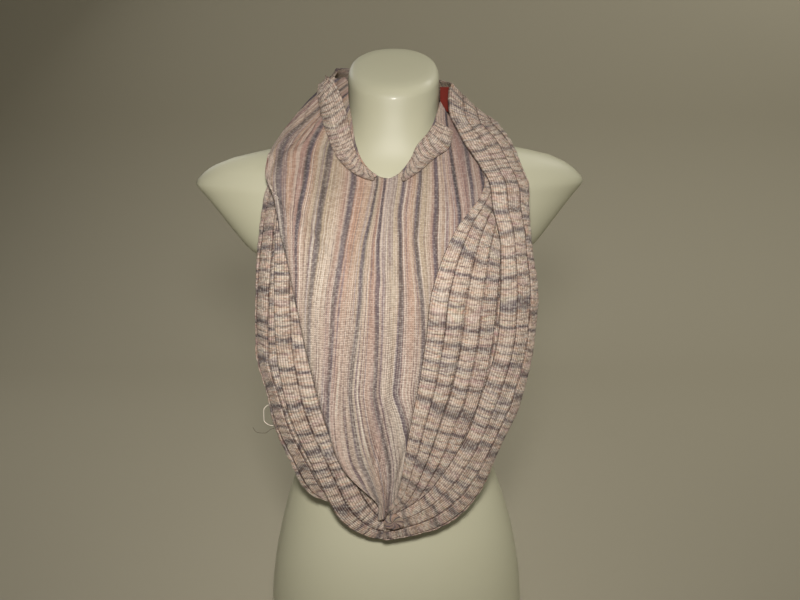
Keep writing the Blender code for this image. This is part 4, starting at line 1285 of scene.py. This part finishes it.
def make_stage():
    material = even_finish("backdrop_paper", 0.95, linear(180, 173, 152))
    turns = np.linspace(0.1, math.pi / 2, 14)
    bend = [(BEND_START + BEND_RADIUS * math.sin(t), BEND_RADIUS - BEND_RADIUS * math.cos(t)) for t in turns]
    profile = [(FLOOR_FRONT, 0.0), (BEND_START, 0.0), *bend, (BEND_START + BEND_RADIUS, WALL_TOP)]
    points = [(x, y, z) for y, z in profile for x in (-SWEEP_SIDE, SWEEP_SIDE)]
    faces = [(2 * k, 2 * k + 1, 2 * k + 3, 2 * k + 2) for k in range(len(profile) - 1)]
    return make_mesh("floor_sweep", points, faces, material)


EYE = (0.008, -0.9823, 0.6835)
EYE_TURN = 77               # degrees: 90 looks level
KEY_ABOVE = 0.16            # metres from the camera up to the key light

LIGHTS = (
    # name, place (none for the key light, over the camera), aim, size, power, colour, spread in degrees
    ("key", None, (-0.03, 0.0, 0.40), 0.10, 1.27, (1.0, 0.97, 0.94), 64),
    ("fill", (-1.2, -1.3, 1.5), (0.0, 0.0, 0.45), 1.2, 1.3, (1.0, 0.97, 0.94), 180),
    ("back", (-1.0, 1.15, 1.5), (0.0, 0.0, 0.45), 1.0, 5.0, (1.0, 0.98, 0.95), 180),
    ("wall", (1.5, 0.3, 2.4), (1.0, 1.8, 1.2), 1.0, 28.0, (1.0, 0.98, 0.93), 180),
)
ROOM_COLOUR, ROOM_POWER = (0.95, 0.93, 0.86, 1.0), 0.07


def add_lights():
    over_camera = Vector(EYE) + shift + Vector((0, 0, KEY_ABOVE))
    for name, place, aim, size, power, colour, spread in LIGHTS:
        place = place or over_camera
        light = bpy.data.lights.new(name, "AREA")
        light.shape = "DISK"
        light.size = size
        light.energy = power
        light.color = colour
        light.spread = math.radians(spread)
        obj = add_object(name, light)
        obj.location = place
        obj.rotation_euler = (Vector(aim) - Vector(place)).to_track_quat("-Z", "Y").to_euler()
    world = bpy.data.worlds.new("room")
    world.use_nodes = True
    background = world.node_tree.nodes["Background"]
    background.inputs[0].default_value = ROOM_COLOUR
    background.inputs[1].default_value = ROOM_POWER
    bpy.context.scene.world = world
    bpy.context.scene.view_settings.view_transform = "Standard"


def add_camera():
    camera = bpy.data.cameras.new("camera")
    camera.lens = 42.0
    camera.sensor_width = 36.0
    obj = add_object("camera", camera)
    obj.location = Vector(EYE) + shift
    obj.rotation_euler = (math.radians(EYE_TURN), 0, 0)
    bpy.context.scene.camera = obj


# Stray fibres on each square metre of a stretch's two faces
FUZZY = {
    "plain_front": 900, "ribs_right_outer": 5000, "ribs_right_inner": 2500, "ribs_left_outer": 5000,
    "ribs_left_inner": 2500, "ribs_back_upper": 5000, "ribs_back_lower": 2500,
    "neck_band_left": 5000, "neck_band_right": 5000, "plain_back": 2500,
}

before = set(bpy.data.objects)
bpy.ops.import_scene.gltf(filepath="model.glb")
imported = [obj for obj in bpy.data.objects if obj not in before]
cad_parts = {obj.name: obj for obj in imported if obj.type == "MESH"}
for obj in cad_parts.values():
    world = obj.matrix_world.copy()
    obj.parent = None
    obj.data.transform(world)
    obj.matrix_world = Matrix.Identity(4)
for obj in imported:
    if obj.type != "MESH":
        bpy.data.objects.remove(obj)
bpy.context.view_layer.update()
plain_form = np.concatenate([form_ring(height, CHECK_SIDES) for height in FORM_HEIGHTS])
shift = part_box("dress_form")[1] - Vector(plain_form.max(axis=0))
shift.z = 0.0

plastic = form_plastic()
ribbed = ribbed_knit("ribbed_knit", 1.0)
ribbed_close = ribbed_knit("ribbed_knit_close", 2.4)
rolled = ribbed_knit("rolled_knit", 2.4, 2.4, 0.55)
plain = plain_knit()

# Each piece with its slot name, and the surface that it gives to the cloth laid over it
pieces = {"dress_form": (make_form(plastic), "form_plastic")}
surfaces = {"dress_form": tree_of(pieces["dress_form"][0])}

# The stretches in the order in which they are laid, innermost first
BACK_RIBS = ("dress_form", "ribs_back_lower", "ribs_back_upper", "ribs_left_outer")
LEFT_RIBS = BACK_RIBS + ("ribs_left_inner",)
FRONT = LEFT_RIBS + ("plain_front",)
BENEATH_ROLL = ("dress_form", "ribs_back_lower", "ribs_left_inner", "plain_front", "ribs_right_inner")
BENEATH_BANDS = FRONT + ("plain_back", "ribs_right_inner", "ribs_right_outer")
STRETCHES = (
    # node, table, how many ribs, what lies beneath, seed, knit
    ("ribs_back_lower", BACK_LOWER, 5, BACK_RIBS[:1], 11, ribbed),
    ("ribs_back_upper", LOOP, 4, BACK_RIBS[:2], 21, ribbed),
    ("ribs_left_outer", LOOP, 4, BACK_RIBS[:2], 31, ribbed_close),
    ("ribs_left_inner", LEFT_INNER, 3, BACK_RIBS, 41, ribbed_close),
    ("plain_front", PLAIN_FRONT, 0, LEFT_RIBS, 51, plain),
    ("plain_back", PLAIN_BACK, 0, LEFT_RIBS, 61, plain),
    ("ribs_right_inner", RIGHT_INNER, 5, FRONT, 71, ribbed),
    ("ribs_right_outer", LOOP, 4, BENEATH_ROLL, 81, ribbed),
    ("neck_band_left", BAND_LEFT, 2, BENEATH_BANDS, 91, rolled),
    ("neck_band_right", BAND_RIGHT, 2, BENEATH_BANDS, 101, rolled),
)

for node, rows, ribs, beneath, seed, knit in STRETCHES:
    trees = [surfaces[name] for name in beneath]
    if ribs:
        cloth = ribbed_stretch(node, rows, ribs, trees, seed, knit)
    else:
        cloth = plain_stretch(node, rows, trees, seed, knit)
    pieces[node] = (cloth, "ribbed_knit" if ribs else "plain_knit")
    surfaces[node] = tree_of(cloth)
pieces["neck_label"] = (make_label(label_cloth()), "label_cloth")
pieces["bottom_knot"] = (make_knot(plain), "plain_knit")
pale_thread = make_thread("pale_thread_end", PALE_THREAD, 0.8, even_finish("pale_yarn", 0.9, PALE))
dark_thread = make_thread("dark_thread_end", DARK_THREAD, 0.35, even_finish("dark_yarn", 0.9, BROWN))

for node, (obj, slot) in pieces.items():
    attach(obj, "root")
    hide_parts(node)
for obj in (pale_thread, dark_thread):
    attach(obj, "root")

fuzz = fuzz_tree(even_finish("fibre", 0.9, BLUSH))
for seed, node in enumerate(FUZZY):
    cloth, slot = pieces[node]
    fibres = make_fuzz(node + "_fuzz", cloth, fuzz, FUZZY[node], seed + 1)
    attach(fibres, "root")
    with_pieces = [fibres]
    if node == "ribs_left_outer":
        with_pieces += [pale_thread, dark_thread]

make_stage()
add_camera()
add_lights()
